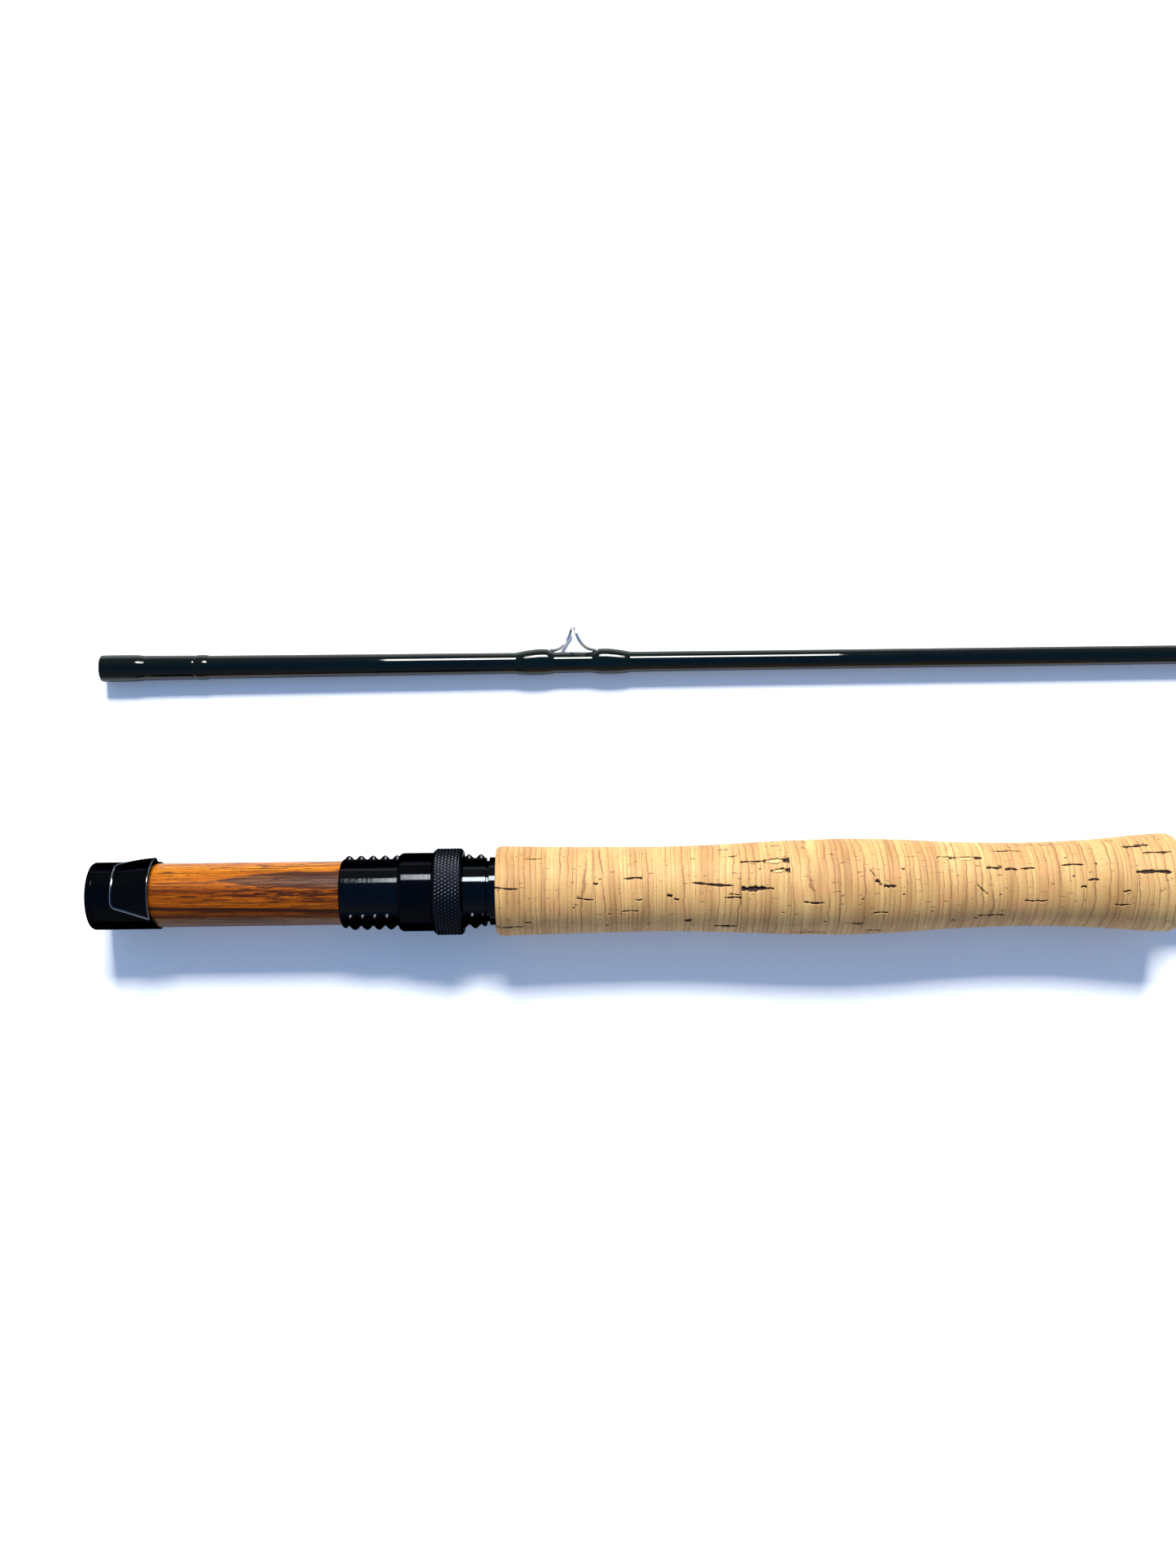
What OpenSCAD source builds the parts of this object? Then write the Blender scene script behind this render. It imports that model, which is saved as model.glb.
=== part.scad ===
// Two-piece fly rod, taken apart: butt section with reel seat and cork grip, and tip section beside it.
// Origin: centre of the butt cap's flat face. +X runs along the rod towards the tip, +Z is up,
// and the tip section lies on the +Y side.

/* [Sections] */
// Length of each of the two sections
section_length = 1168; // [1150:1:1250]
// Distance between the axes of the two sections as they lie side by side
section_gap = 61; // [45:1:90]
// Height of the tip section's axis below the butt section's axis
tip_drop = 9.3; // [8:0.1:10]
// How far the tip section slides over the butt section
ferrule_depth = 50; // [42:1:56]
// Diameter of the male ferrule
ferrule_d = 5.2; // [5:0.05:5.3]

/* [Reel seat] */
// Direction of the seat and the butt section's guides, from straight up towards +Y
seat_turn = 25; // [0:1:40]
// Diameter of the wooden insert and of the barrel's milled land
insert_d = 16.88; // [16.6:0.02:17]
// Outside diameter of the fixed hood
hood_cup_d = 17.9; // [17.7:0.1:18.4]
// Crest diameter of the barrel's thread
thread_d = 19.7; // [19.5:0.1:19.8]
// Pitch of the thread, eight turns to the inch
thread_pitch = 3.175; // [2.8:0.005:3.6]
// Outside diameter of the sliding hood
slide_hood_d = 20.8; // [20.6:0.1:22]
// Outside diameter of the knurled lock ring
lock_ring_d = 23; // [22.4:0.1:25]
// Distance of the sliding hood's open end from the butt cap's face
hood_open_z = 81.3; // [81:0.1:84]

/* [Grip] */
// Thickness of one cork ring
cork_ring_t = 12.7; // [12:0.1:13]
// Diameter of the grip at its front flare
flare_d = 26; // [25:0.1:26]

/* [Guides] */
// Wire radius of the largest snake guide
snake_wire_r = 0.5; // [0.4:0.05:0.55]
// Inside radius of the stripping guide's ceramic ring
strip_ring_r = 4.1; // [3.6:0.1:4.4]

/* [Hidden] */
CORK_RINGS = 14;
SNAKES = 7;
$fn = 96;

eps = 0.01;
glue = 0.03;              // gap left between glued pieces
tip_turn = 88;            // direction of the tip section's guides, from straight up towards +Y

// Stations along the butt section, from the butt cap's face
cap_t = 1.8;
hood_mouth_z = 17;
barrel_z = 66;
groove_z = 104.2;
collar_z = 105;
grip_z = 106.8;
grip_end_z = grip_z + CORK_RINGS * cork_ring_t;
insert_r = insert_d / 2;
tenon_rear_r = insert_r - 0.16;
tenon_front_r = insert_r - 0.9;
insert_bore_r = 5.9;
butt_blank_z = 4.2;

// Thread: rounded ridges between the root and the crest radius
crest_r = thread_d / 2;
root_r = crest_r - 1.05;
THREAD_SIDES = 36;
THREAD_ROWS = 6;          // rows of points in one pitch
land_half_angle = 60;
thread_play = 0.2;        // radial gap between the barrel's and the ring's threads

// Blank radius at stations along each section
butt_taper = [[0, 5.05], [grip_end_z, 4.85], [section_length - ferrule_depth - 6, ferrule_d / 2 + 0.12],
              [section_length - ferrule_depth - 2, ferrule_d / 2], [section_length, ferrule_d / 2]];
tip_taper = [[0, 3.3], [34, 3.18], [110, 2.88], [170, 2.7], [290, 2.58], [section_length, 0.95]];
function butt_r(z) = lookup(z, butt_taper);
function tip_r(z) = lookup(z, tip_taper);

// Grip radius at stations along the grip, as shares of its length
grip_outline = [[0, 11.95], [0.06, 11.7], [0.13, 11.42], [0.24, 11.18], [0.33, 11.6], [0.42, 12.4],
                [0.515, 12.8], [0.59, 12.4], [0.67, 11.55], [0.76, 11.02], [0.84, 11.2], [0.91, 11.95],
                [0.955, 12.8], [0.98, flare_d / 2 + 0.1], [1, flare_d / 2 + 0.1]];
function between(list, t, i = 0) =
    i >= len(list) - 2 || t <= list[i + 1][0]
        ? list[i][1] + (list[i + 1][1] - list[i][1])
          * (t - list[i][0]) / (list[i + 1][0] - list[i][0])
        : between(list, t, i + 1);
blur = 0.035;             // half-width, as a share of the grip, over which the outline is rounded
function grip_r(t) = (between(grip_outline, max(0, t - blur)) + between(grip_outline, min(1, t + blur))
                      + 2 * between(grip_outline, t)) / 4;
function row(i) = i * cork_ring_t;

// Stations of the guides along their sections, and each snake guide's size
snake_z = [127.6, 313, 483, 643, 793, 933, 1058];
snake_scale = [1, 0.93, 0.87, 0.82, 0.78, 0.75, 0.72];
butt_snake_z = 1046;
strip_z = 806;
strip_h = 13.2;           // height of the stripping guide's ring above the blank's axis
keeper_z = 303;
keeper_eye_h = 1.15;      // height of the keeper's eye above the blank's surface
keeper_ring_r = 2.6;
keeper_wire_r = 0.4;

// ---- Placing ----

// Local +Z runs along the rod, and local +X points the way the guides stand
module section_frame(turn) rotate([-turn, 0, 0]) rotate([180, -90, 0]) children();
module butt_frame() section_frame(seat_turn) children();
module tip_frame() translate([0, section_gap, -tip_drop]) section_frame(tip_turn) children();

// ---- Shared shapes ----

// Solid of revolution from [radius, z] points
module turned(points) rotate_extrude() polygon(points);

module tube(z0, z1, r_out, r_in)
    translate([0, 0, z0]) difference() {
        cylinder(h = z1 - z0, r = r_out);
        translate([0, 0, -1]) cylinder(h = z1 - z0 + 2, r = r_in);
    }

// Round bar between two points
module bar(p, q, r) {
    d = q - p;
    translate(p) rotate([0, acos(d[2] / norm(d)), atan2(d[1], d[0])]) cylinder(h = norm(d), r = r, $fn = 24);
}

// Closed skin through rings of points, with a flat cap on each end ring
module skin(rings) {
    m = len(rings);
    n = len(rings[0]);
    polyhedron(
        points = [for (ring = rings) each ring],
        faces = concat(
            [[for (k = [0:n - 1]) k]],
            [[for (k = [0:n - 1]) (m - 1) * n + n - 1 - k]],
            [for (j = [0:m - 2], k = [0:n - 1]) let (a = j * n + k, b = j * n + (k + 1) % n) each
                [[a, a + n, b], [b, a + n, b + n]]]));
}

// ---- Thread ----

function ridge(turns) = (1 - cos(360 * turns)) / 2;
function fade(z) = max(0, min(1, (z - barrel_z) / 0.9, (groove_z - z) / 0.9));

// Rod with a right-handed thread between two stations, made larger all round by grow
module screw(z0, z1, grow, faded) {
    rows = ceil((z1 - z0) / thread_pitch * THREAD_ROWS);
    skin([for (j = [0:rows]) let (z = z0 + (z1 - z0) * j / rows)
        [for (k = [0:THREAD_SIDES - 1]) let (a = 360 * k / THREAD_SIDES,
            r = root_r + grow + (crest_r - root_r) * ridge(z / thread_pitch - a / 360) * (faded ? fade(z) : 1))
            [r * cos(a), r * sin(a), z]]]);
}

// Wedge about local +X with its point on the axis
module sector(half_angle, r, z0, z1)
    translate([0, 0, z0]) linear_extrude(z1 - z0)
        polygon([[0, 0], for (a = [-half_angle:half_angle / 3:half_angle]) 2 * r * [cos(a), sin(a)]]);

// ---- Thread wraps ----

// Outline of a coated wrap: it rises quickly at its ends and is nearly flat between them
function wrap_rise(t) = 1 - pow(abs(2 * t - 1), 3);

// Coated wrap with taper as its blank; foot is the height of a ridge over a guide's foot
module wrap(z0, z1, taper, rise, foot = 0) {
    steps = 10;
    length = z1 - z0;
    r0 = lookup(z0, taper);
    r1 = lookup(z1, taper);
    difference() {
        union() {
            turned(concat([[0, z0]],
                [for (i = [0:steps]) let (t = i / steps)
                    [r0 + (r1 - r0) * t + 0.08 + rise * wrap_rise(t), z0 + length * t]],
                [[0, z1]]));
            if (foot > 0) translate([r0 - 0.3, 0, 0])
                turned(concat([[0, z0 + 0.6]],
                    [for (i = [0:steps]) let (t = i / steps)
                        [0.2 + (foot + 0.1) * wrap_rise(t), z0 + 0.6 + (length - 1.2) * t]],
                    [[0, z1 - 0.6]]));
        }
        translate([0, 0, z0 - 1])
            cylinder(h = length + 2, r1 = lookup(z0 - 1, taper) + 0.01, r2 = lookup(z1 + 1, taper) + 0.01);
    }
}

// ---- Snake guides ----

// Point along a snake guide's loop: half is its half-length, rise its height, wide its half-width
function loop_point(a, base, half, rise, wide) = let (s = (a - 180) / 180)
    [base + rise * (1 - cos(a)) / 2, -wide * sin(a), half * (0.25 * s + 0.75 * s * s * s)];

// Ring of wire points round p, in the plane of the two directions n and b
function wire_ring(p, n, b, rn, rb) = [for (k = [0:7]) p + rn * cos(45 * k) * n + rb * sin(45 * k) * b];

// Bent wire with two flat feet, centred on local Z, on a blank with the given radius
module snake_wire(blank_r, size) {
    wire = snake_wire_r * (0.4 + 0.6 * size);
    half = 6 * size;
    rise = 6.6 * size;
    wide = 3.2 * size;
    base = blank_r + wire + glue;
    foot = 7.2 * size;
    centre = base + rise / 2;
    turn_step = 15;
    out = [-1, 0, 0];
    side = [0, -1, 0];
    rings = concat(
        [for (t = [1, 0.6, 0.25]) let (thin = wire * (1 - 0.7 * t))
            wire_ring([blank_r + glue + thin, 0, -half - foot * t], out, side, thin, wire * 1.15)],
        [for (a = [0:turn_step:360])
            let (p = loop_point(a, base, half, rise, wide),
                 d = loop_point(min(360, a + 2), base, half, rise, wide)
                     - loop_point(max(0, a - 2), base, half, rise, wide),
                 away = [p[0] - centre, p[1], 0],
                 along = d / norm(d),
                 level = away - (away * along) * along,
                 n = level / norm(level))
            wire_ring(p, n, cross(along, n), wire, wire)],
        [for (t = [0.25, 0.6, 1]) let (thin = wire * (1 - 0.7 * t))
            wire_ring([blank_r + glue + thin, 0, half + foot * t], out, side, thin, wire * 1.15)]);
    skin(rings);
}

module snake_at(z, taper, size) translate([0, 0, z]) snake_wire(lookup(z - 14 * size, taper), size);

// The two wraps that hold a snake guide's feet
module snake_wraps_at(z, taper, size) for (side = [-1, 1]) {
    inner = z + side * 5.6 * size;
    outer = z + side * 15.3 * size;
    wrap(min(inner, outer), max(inner, outer), taper, 0.34, 1.25 * size);
}

// ---- Butt section ----

module butt_cap() color([0.03, 0.03, 0.04]) butt_frame() {
    r = hood_cup_d / 2;
    turned([[0, 0], [r - 0.8, 0], [r - 0.25, 0.25], [r, 0.8], [r, cap_t], [0, cap_t]]);
    translate([0, 0, cap_t - eps]) cylinder(h = butt_blank_z - cap_t - 0.2, r = tenon_rear_r - 0.1);
}

// Outline of the fixed hood's raised pocket, seen from the seat's side, and smaller by inset
module pocket_outline(inset) {
    z0 = 6.5 + inset;
    w0 = 6 - inset;
    w1 = 8.6 - inset;
    corner = 1.6;
    polygon(concat(
        [[w1, hood_mouth_z + inset]],
        [for (a = [0:30:90]) [w0 + 0.2 - corner + corner * cos(a), z0 + corner - corner * sin(a)]],
        [for (a = [90:-30:0]) [-(w0 + 0.2 - corner + corner * cos(a)), z0 + corner - corner * sin(a)]],
        [[-w1, hood_mouth_z + inset]]));
}

// Slanted cylinder of the pocket's roof, cut to the pocket's outline
module pocket_roof(r, inset) intersection() {
    slant = 8.7;
    translate([0, 0, 6.5]) rotate([0, slant, 0]) translate([0, 0, -6]) cylinder(h = 24, r = r);
    rotate([0, 90, 0]) linear_extrude(20) rotate(90) pocket_outline(inset);
}

module fixed_hood() color([0.03, 0.03, 0.04]) butt_frame() difference() {
    union() {
        tube(cap_t + 0.05, hood_mouth_z, hood_cup_d / 2, tenon_rear_r + glue);
        intersection() {
            pocket_roof(hood_cup_d / 2 + 0.35, 0);
            tube(5, hood_mouth_z, 14, tenon_rear_r + glue);
        }
    }
    intersection() {
        pocket_roof(hood_cup_d / 2 - 0.45, 0.8);
        tube(7, hood_mouth_z + 1, 14, tenon_rear_r - 0.1);
    }
}

module wood_insert() color([0.62, 0.3, 0.06]) butt_frame() difference() {
    turned([[insert_bore_r, butt_blank_z], [tenon_rear_r, butt_blank_z], [tenon_rear_r, hood_mouth_z + 0.05],
            [insert_r, hood_mouth_z + 0.05], [insert_r, barrel_z - 0.05], [tenon_front_r, barrel_z - 0.05],
            [tenon_front_r, grip_z - 0.1], [insert_bore_r, grip_z - 0.1]]);
}

module threaded_barrel() color([0.04, 0.04, 0.05]) butt_frame() difference() {
    union() {
        difference() {
            screw(barrel_z, groove_z, 0, true);
            difference() {
                sector(land_half_angle, 12, barrel_z - 1, groove_z + 1);
                translate([0, 0, barrel_z - 2]) cylinder(h = groove_z - barrel_z + 4, r = insert_r);
            }
        }
        translate([0, 0, groove_z - eps]) cylinder(h = collar_z - groove_z + 2 * eps, r = insert_r);
        translate([0, 0, collar_z]) cylinder(h = grip_z - collar_z - glue, r = crest_r - 0.85);
    }
    translate([0, 0, barrel_z - 1]) cylinder(h = grip_z - barrel_z + 2, r = tenon_front_r + glue);
}

module seat_arbor(z) color([0.8, 0.72, 0.5]) butt_frame()
    tube(z, z + 12, insert_bore_r - glue, butt_r(z) + glue);
module seat_arbor_rear() seat_arbor(8);
module seat_arbor_middle() seat_arbor(50);
module seat_arbor_front() seat_arbor(92);

// One ring of the grip, counted from 0 at the reel seat, with a small round at the grip's two ends
module cork_ring(i) color([0.85, 0.7, 0.5]) butt_frame() {
    steps = 6;
    z0 = grip_z + row(i) + (i == 0 ? 0 : 0.01);
    z1 = grip_z + row(i + 1) - 0.01;
    total = CORK_RINGS * cork_ring_t;
    turned(concat(
        [[butt_r(z0) + glue, z0]],
        [for (j = [0:steps]) let (z = z0 + (z1 - z0) * j / steps,
            from_end = min(z - grip_z, grip_end_z - z))
            [grip_r((z - grip_z) / total) - 0.5 * pow(max(0, 1 - from_end / 1.5), 2), z]],
        [[butt_r(z1) + glue, z1]]));
}

module winding_check() color([0.05, 0.05, 0.06]) butt_frame() {
    z = grip_end_z + 0.02;
    turned([[butt_r(z) + glue, z], [6.4, z], [6.4, z + 0.8], [5.6, z + 2], [butt_r(z) + glue, z + 2]]);
}

// Hollow tapered tube through the seat and the grip, ending in the male ferrule
module butt_blank() color([0.02, 0.06, 0.05]) butt_frame() {
    wall = 0.75;
    stations = [butt_blank_z, grip_end_z, section_length - ferrule_depth - 6,
                section_length - ferrule_depth - 2, section_length - 0.3];
    turned(concat(
        [for (z = stations) [butt_r(z), z]],
        [[ferrule_d / 2 - 0.3, section_length], [ferrule_d / 2 - wall, section_length]],
        [for (i = [len(stations) - 2:-1:0]) [butt_r(stations[i]) - wall, stations[i]]]));
}

module ferrule_plug() color([0.05, 0.05, 0.05]) butt_frame() {
    r = ferrule_d / 2 - 0.8;
    turned([[0, section_length - 8], [r, section_length - 8], [r, section_length], [r - 0.4, section_length + 0.4],
            [0, section_length + 0.4]]);
}

module front_wrap() color([0.02, 0.07, 0.05]) butt_frame()
    wrap(grip_end_z + 2.1, keeper_z - 1.4, butt_taper, 0.34, 1.1);

// Foot under the front wrap, and an eye across the rod for the folding ring
module hook_keeper() color([0.75, 0.75, 0.76]) butt_frame() {
    surface = butt_r(keeper_z - 12) + glue;
    difference() {
        union() {
            translate([surface, -0.8, keeper_z - 10]) cube([0.5, 1.6, 10]);
            translate([surface + keeper_eye_h, 0, keeper_z]) rotate([90, 0, 0]) cylinder(h = 1.6, r = 1.1, center = true);
        }
        translate([surface + keeper_eye_h, 0, keeper_z]) rotate([90, 0, 0])
            cylinder(h = 3, r = keeper_wire_r + 0.2, center = true);
    }
}

// Folding ring, lying forward along the blank
module keeper_ring() color([0.8, 0.8, 0.82]) butt_frame() {
    surface = butt_r(keeper_z - 12) + glue;
    translate([surface + keeper_eye_h, 0, keeper_z + keeper_ring_r]) rotate([0, 90, 0])
        rotate_extrude() translate([keeper_ring_r, 0]) circle(r = keeper_wire_r, $fn = 24);
}

// Ring holder on three legs with two feet
module stripping_guide_frame() color([0.75, 0.75, 0.77]) butt_frame() translate([0, 0, strip_z]) {
    r = strip_ring_r + 1.2;
    base = butt_r(strip_z - 16) + glue + 0.55;
    difference() {
        union() {
            translate([strip_h, 0, -0.9]) cylinder(h = 1.8, r = r + 0.9);
            for (side = [-1, 1]) bar([strip_h - 4, side * (r - 0.6), 0.2], [base - 0.2, side * 0.35, -9], 0.5);
            bar([strip_h - r - 0.35, 0, -0.2], [base - 0.2, 0, 9], 0.6);
            for (side = [-1, 1]) translate([base - 0.5, -0.9, side * 12.5 - 4.5]) cube([0.7, 1.8, 9]);
        }
        translate([strip_h, 0, -2]) cylinder(h = 4, r = r);
    }
}

module stripping_guide_ring() color([0.09, 0.09, 0.1]) butt_frame() translate([strip_h, 0, strip_z]) {
    r = strip_ring_r + 1.2 - 0.02;
    mid = (strip_ring_r + r) / 2;
    turned([[r, -1], [mid, -1.4], [strip_ring_r + 0.15, -1.1], [strip_ring_r, -0.5], [strip_ring_r, 0.5],
            [strip_ring_r + 0.15, 1.1], [mid, 1.4], [r, 1]]);
}

module stripping_guide_wraps() color([0.02, 0.07, 0.05]) butt_frame() {
    wrap(strip_z - 18.2, strip_z - 7.6, butt_taper, 0.36, 1.5);
    wrap(strip_z + 7.6, strip_z + 18.2, butt_taper, 0.36, 1.5);
}

module butt_snake_guide() color([0.8, 0.8, 0.82]) butt_frame() snake_at(butt_snake_z, butt_taper, 1);
module butt_snake_wraps() color([0.02, 0.07, 0.05]) butt_frame() snake_wraps_at(butt_snake_z, butt_taper, 1);

// Sleeve over the thread, with two keys that run in the barrel's land
module sliding_hood() color([0.03, 0.03, 0.04]) butt_frame() {
    length = 8.9;
    bore_r = crest_r + 0.1;
    r = slide_hood_d / 2;
    key_angle = 6;
    translate([0, 0, hood_open_z]) {
        turned([[bore_r, 0], [r - 0.35, 0], [r - 0.1, 0.25], [r, 0.8], [r, length], [bore_r, length]]);
        for (a = [-land_half_angle + 2, land_half_angle - 2 - key_angle]) rotate(a)
            rotate_extrude(angle = key_angle) translate([insert_r + 0.1, 0.3])
                square([bore_r + 0.2 - insert_r - 0.1, length - 0.6]);
    }
}

module lock_ring() color([0.04, 0.04, 0.05]) butt_frame() {
    z0 = hood_open_z + 9;
    length = 7.7;
    r = lock_ring_d / 2;
    difference() {
        turned([[0, z0], [r - 0.9, z0], [r, z0 + 0.9], [r, z0 + length - 0.7], [r - 0.7, z0 + length], [0, z0 + length]]);
        screw(z0 - 0.5, z0 + length + 0.5, thread_play, false);
    }
}

// ---- Tip section ----

// Hollow tapered tube: a straight socket at its big end, and a fine bore beyond it
module tip_blank() color([0.02, 0.06, 0.05]) tip_frame() {
    socket_r = ferrule_d / 2 + 0.05;
    socket_end = ferrule_depth + 4;
    bore_end = 900;
    inner = [for (z = [170, 110, socket_end + 6]) [tip_r(z) - 0.7, z]];
    turned(concat(
        [[socket_r, 0]],
        [for (p = tip_taper) [p[1], p[0]]],
        [[0, section_length], [0, bore_end], [0.7, bore_end]],
        inner,
        [[socket_r, socket_end]]));
}

module ferrule_wrap() color([0.01, 0.04, 0.03]) tip_frame() {
    steps = 8;
    difference() {
        turned(concat([[0, -0.02]],
            [for (i = [0:steps]) let (t = i / steps)
                [3.58 + 0.1 * wrap_rise(min(1, t + 0.12)) - 0.25 * max(0, t - 0.8), 12.1 * t]],
            [[0, 12.1]]));
        translate([0, 0, -1]) cylinder(h = 14, r1 = tip_r(0) + glue, r2 = tip_r(13) + glue);
    }
}

module label_coat() color([0.02, 0.06, 0.05]) tip_frame() difference() {
    turned([[0, 12.15], [3.42, 12.15], [3.3, 25.35], [0, 25.35]]);
    translate([0, 0, 11]) cylinder(h = 16, r1 = tip_r(11) + 0.01, r2 = tip_r(27) + 0.01);
}

module ferrule_trim_wrap() color([0.01, 0.04, 0.03]) tip_frame()
    wrap(25.4, 29, tip_taper, 0.14);

module snake_guide(i) color([0.8, 0.8, 0.82]) tip_frame() snake_at(snake_z[i], tip_taper, snake_scale[i]);
module snake_wraps(i) color([0.02, 0.07, 0.05]) tip_frame() snake_wraps_at(snake_z[i], tip_taper, snake_scale[i]);

// Tube over the end of the blank with a brazed wire loop
module tip_top() color([0.8, 0.8, 0.82]) tip_frame() {
    length = 9;
    loop_r = 3;
    wire_r = 0.4;
    lean = 12;
    difference() {
        union() {
            translate([0, 0, section_length - length + 1]) cylinder(h = length, r = 1.45);
            translate([loop_r + 1.1, 0, section_length + 0.4]) rotate([0, lean, 0])
                rotate_extrude() translate([loop_r, 0]) circle(r = wire_r, $fn = 24);
            for (side = [-1, 1])
                bar([loop_r + 0.1, side * 2.8, section_length + 0.2], [1.1, side * 0.6, section_length - 5], 0.35);
        }
        translate([0, 0, section_length - length]) cylinder(h = length + eps, r = 1.03);
    }
}

module tip_top_wrap() color([0.02, 0.07, 0.05]) tip_frame()
    wrap(section_length - 15, section_length - 8.1, tip_taper, 0.32);

butt_cap();
fixed_hood();
wood_insert();
threaded_barrel();
seat_arbor_rear();
seat_arbor_middle();
seat_arbor_front();
winding_check();
butt_blank();
ferrule_plug();
front_wrap();
hook_keeper();
stripping_guide_frame();
stripping_guide_ring();
stripping_guide_wraps();
butt_snake_guide();
butt_snake_wraps();
sliding_hood();
lock_ring();
keeper_ring();
tip_blank();
ferrule_wrap();
label_coat();
ferrule_trim_wrap();
tip_top();
tip_top_wrap();
for (i = [1:CORK_RINGS]) cork_ring(i - 1);
for (i = [1:SNAKES]) snake_guide(i - 1);
for (i = [1:SNAKES]) snake_wraps(i - 1);
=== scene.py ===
"""Two-piece fly rod, taken apart: the looks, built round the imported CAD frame.

Lengths in the shape code are in millimetres along each section: z runs along the rod, x points the way
that section's guides stand, and angles turn from x. Section.world() turns them into the frame's metres.
"""
import math

import bpy
import numpy as np
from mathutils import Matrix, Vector


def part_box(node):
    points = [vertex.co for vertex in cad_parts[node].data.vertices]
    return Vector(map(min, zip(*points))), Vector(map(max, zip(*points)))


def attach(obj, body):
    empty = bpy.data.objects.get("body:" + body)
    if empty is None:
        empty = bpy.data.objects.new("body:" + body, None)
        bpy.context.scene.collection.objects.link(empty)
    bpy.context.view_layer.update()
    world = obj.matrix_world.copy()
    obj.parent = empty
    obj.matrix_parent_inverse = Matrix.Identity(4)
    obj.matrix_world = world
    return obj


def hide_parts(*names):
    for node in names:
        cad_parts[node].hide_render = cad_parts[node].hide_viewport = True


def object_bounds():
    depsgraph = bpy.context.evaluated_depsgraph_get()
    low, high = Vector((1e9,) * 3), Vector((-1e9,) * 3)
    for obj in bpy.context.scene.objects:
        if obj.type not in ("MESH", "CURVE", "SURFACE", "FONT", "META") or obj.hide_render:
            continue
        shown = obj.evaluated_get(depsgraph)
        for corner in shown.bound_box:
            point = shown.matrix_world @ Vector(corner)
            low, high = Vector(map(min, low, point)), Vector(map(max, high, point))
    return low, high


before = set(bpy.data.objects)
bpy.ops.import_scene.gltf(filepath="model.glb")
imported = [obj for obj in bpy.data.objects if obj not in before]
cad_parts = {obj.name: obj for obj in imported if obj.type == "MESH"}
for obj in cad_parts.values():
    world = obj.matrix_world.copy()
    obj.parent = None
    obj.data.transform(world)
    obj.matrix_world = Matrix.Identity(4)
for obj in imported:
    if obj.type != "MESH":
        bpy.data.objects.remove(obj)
cad_low, cad_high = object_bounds()

TURN = 2 * math.pi
DEG = math.pi / 180

# Stations along the butt section and radii, as the CAD has them
CAP_T, SEAT_START, HOOD_MOUTH, BARREL_Z = 1.8, 4.2, 17.0, 66.0
GROOVE_Z, COLLAR_Z, GRIP_Z = 104.2, 105.0, 106.8
RING_T, CORK_RINGS = 12.7, 14
GRIP_END = GRIP_Z + RING_T * CORK_RINGS
INSERT_R, HOOD_R, CREST_R, ROOT_R, PITCH = 8.44, 8.95, 9.85, 8.8, 3.175
TENON_REAR, TENON_FRONT, BORE_R = 8.28, 7.54, 5.9
HOOD_OPEN_Z, SLIDE_LENGTH, SLIDE_R = 81.3, 8.9, 10.4
LOCK_START, LOCK_END, LOCK_R = HOOD_OPEN_Z + 9, HOOD_OPEN_Z + 16.7, 11.5
LAND_HALF = 60.0
# Stations on the tip section: the wrap over its socket, the clear coat beside it, and the trim wrap
SOCKET_WRAP_END, COAT_START, COAT_END, TRIM_START, TRIM_END = 12.1, 12.15, 25.35, 25.4, 29.0
# How far a fitted piece stands off what it is glued to
GLUE = 0.03
LENGTH, FERRULE, FERRULE_R = 1168.0, 50.0, 2.6
KEEPER_Z, STRIP_Z, STRIP_H, STRIP_RING_R, BUTT_SNAKE_Z = 303.0, 806.0, 13.2, 4.1, 1046.0
SNAKE_Z = [127.6, 313, 483, 643, 793, 933, 1058]
SNAKE_SCALE = [1, 0.93, 0.87, 0.82, 0.78, 0.75, 0.72]
BUTT_TAPER = [(0, 5.05), (GRIP_END, 4.85), (1112, 2.72), (1116, 2.6), (LENGTH, 2.6)]
TIP_TAPER = [(0, 3.3), (34, 3.18), (110, 2.88), (170, 2.7), (290, 2.58), (LENGTH, 0.95)]
# The grip's radius at shares of its length, and how far inside that the cork stays here
GRIP_OUTLINE = [(0, 11.95), (0.06, 11.7), (0.13, 11.42), (0.24, 11.18), (0.33, 11.6), (0.42, 12.4),
                (0.515, 12.8), (0.59, 12.4), (0.67, 11.55), (0.76, 11.02), (0.84, 11.2), (0.91, 11.95),
                (0.955, 12.8), (0.98, 13.1), (1, 13.1)]
CORK_INSET = 0.06


class Section:
    """One of the two rod sections: its origin in millimetres, and the way its guides stand."""

    def __init__(self, turn, origin):
        t = turn * DEG
        self.origin = np.array(origin)
        self.axes = np.array([[0, math.sin(t), math.cos(t)], [0, -math.cos(t), math.sin(t)], [1, 0, 0]])

    def world(self, points):
        return (np.asarray(points) @ self.axes + self.origin) / 1000


# How far round its axis each section lies, in degrees
SEAT_TURN, TIP_TURN = 25.0, 88.0
tip_low, tip_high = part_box("tip_blank")
BUTT = Section(SEAT_TURN, (0, 0, 0))
TIP = Section(TIP_TURN, (0, 500 * (tip_low.y + tip_high.y), 500 * (tip_low.z + tip_high.z)))


# ---- Mesh helpers ----

def lookup(z, table):
    """The value at z from a table of (z, value) pairs."""
    return np.interp(z, [p[0] for p in table], [p[1] for p in table])


def smoothstep(value, low, high):
    t = np.clip((value - low) / (high - low), 0, 1)
    return t * t * (3 - 2 * t)


def angles(count):
    return np.arange(count) * TURN / count


def polar(r, a, z):
    """Points at radius r, angle a and station z, from arrays that broadcast to (rows, columns)."""
    r, a, z = np.broadcast_arrays(r, a, z)
    return np.stack([r * np.cos(a), r * np.sin(a), z], -1)


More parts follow.
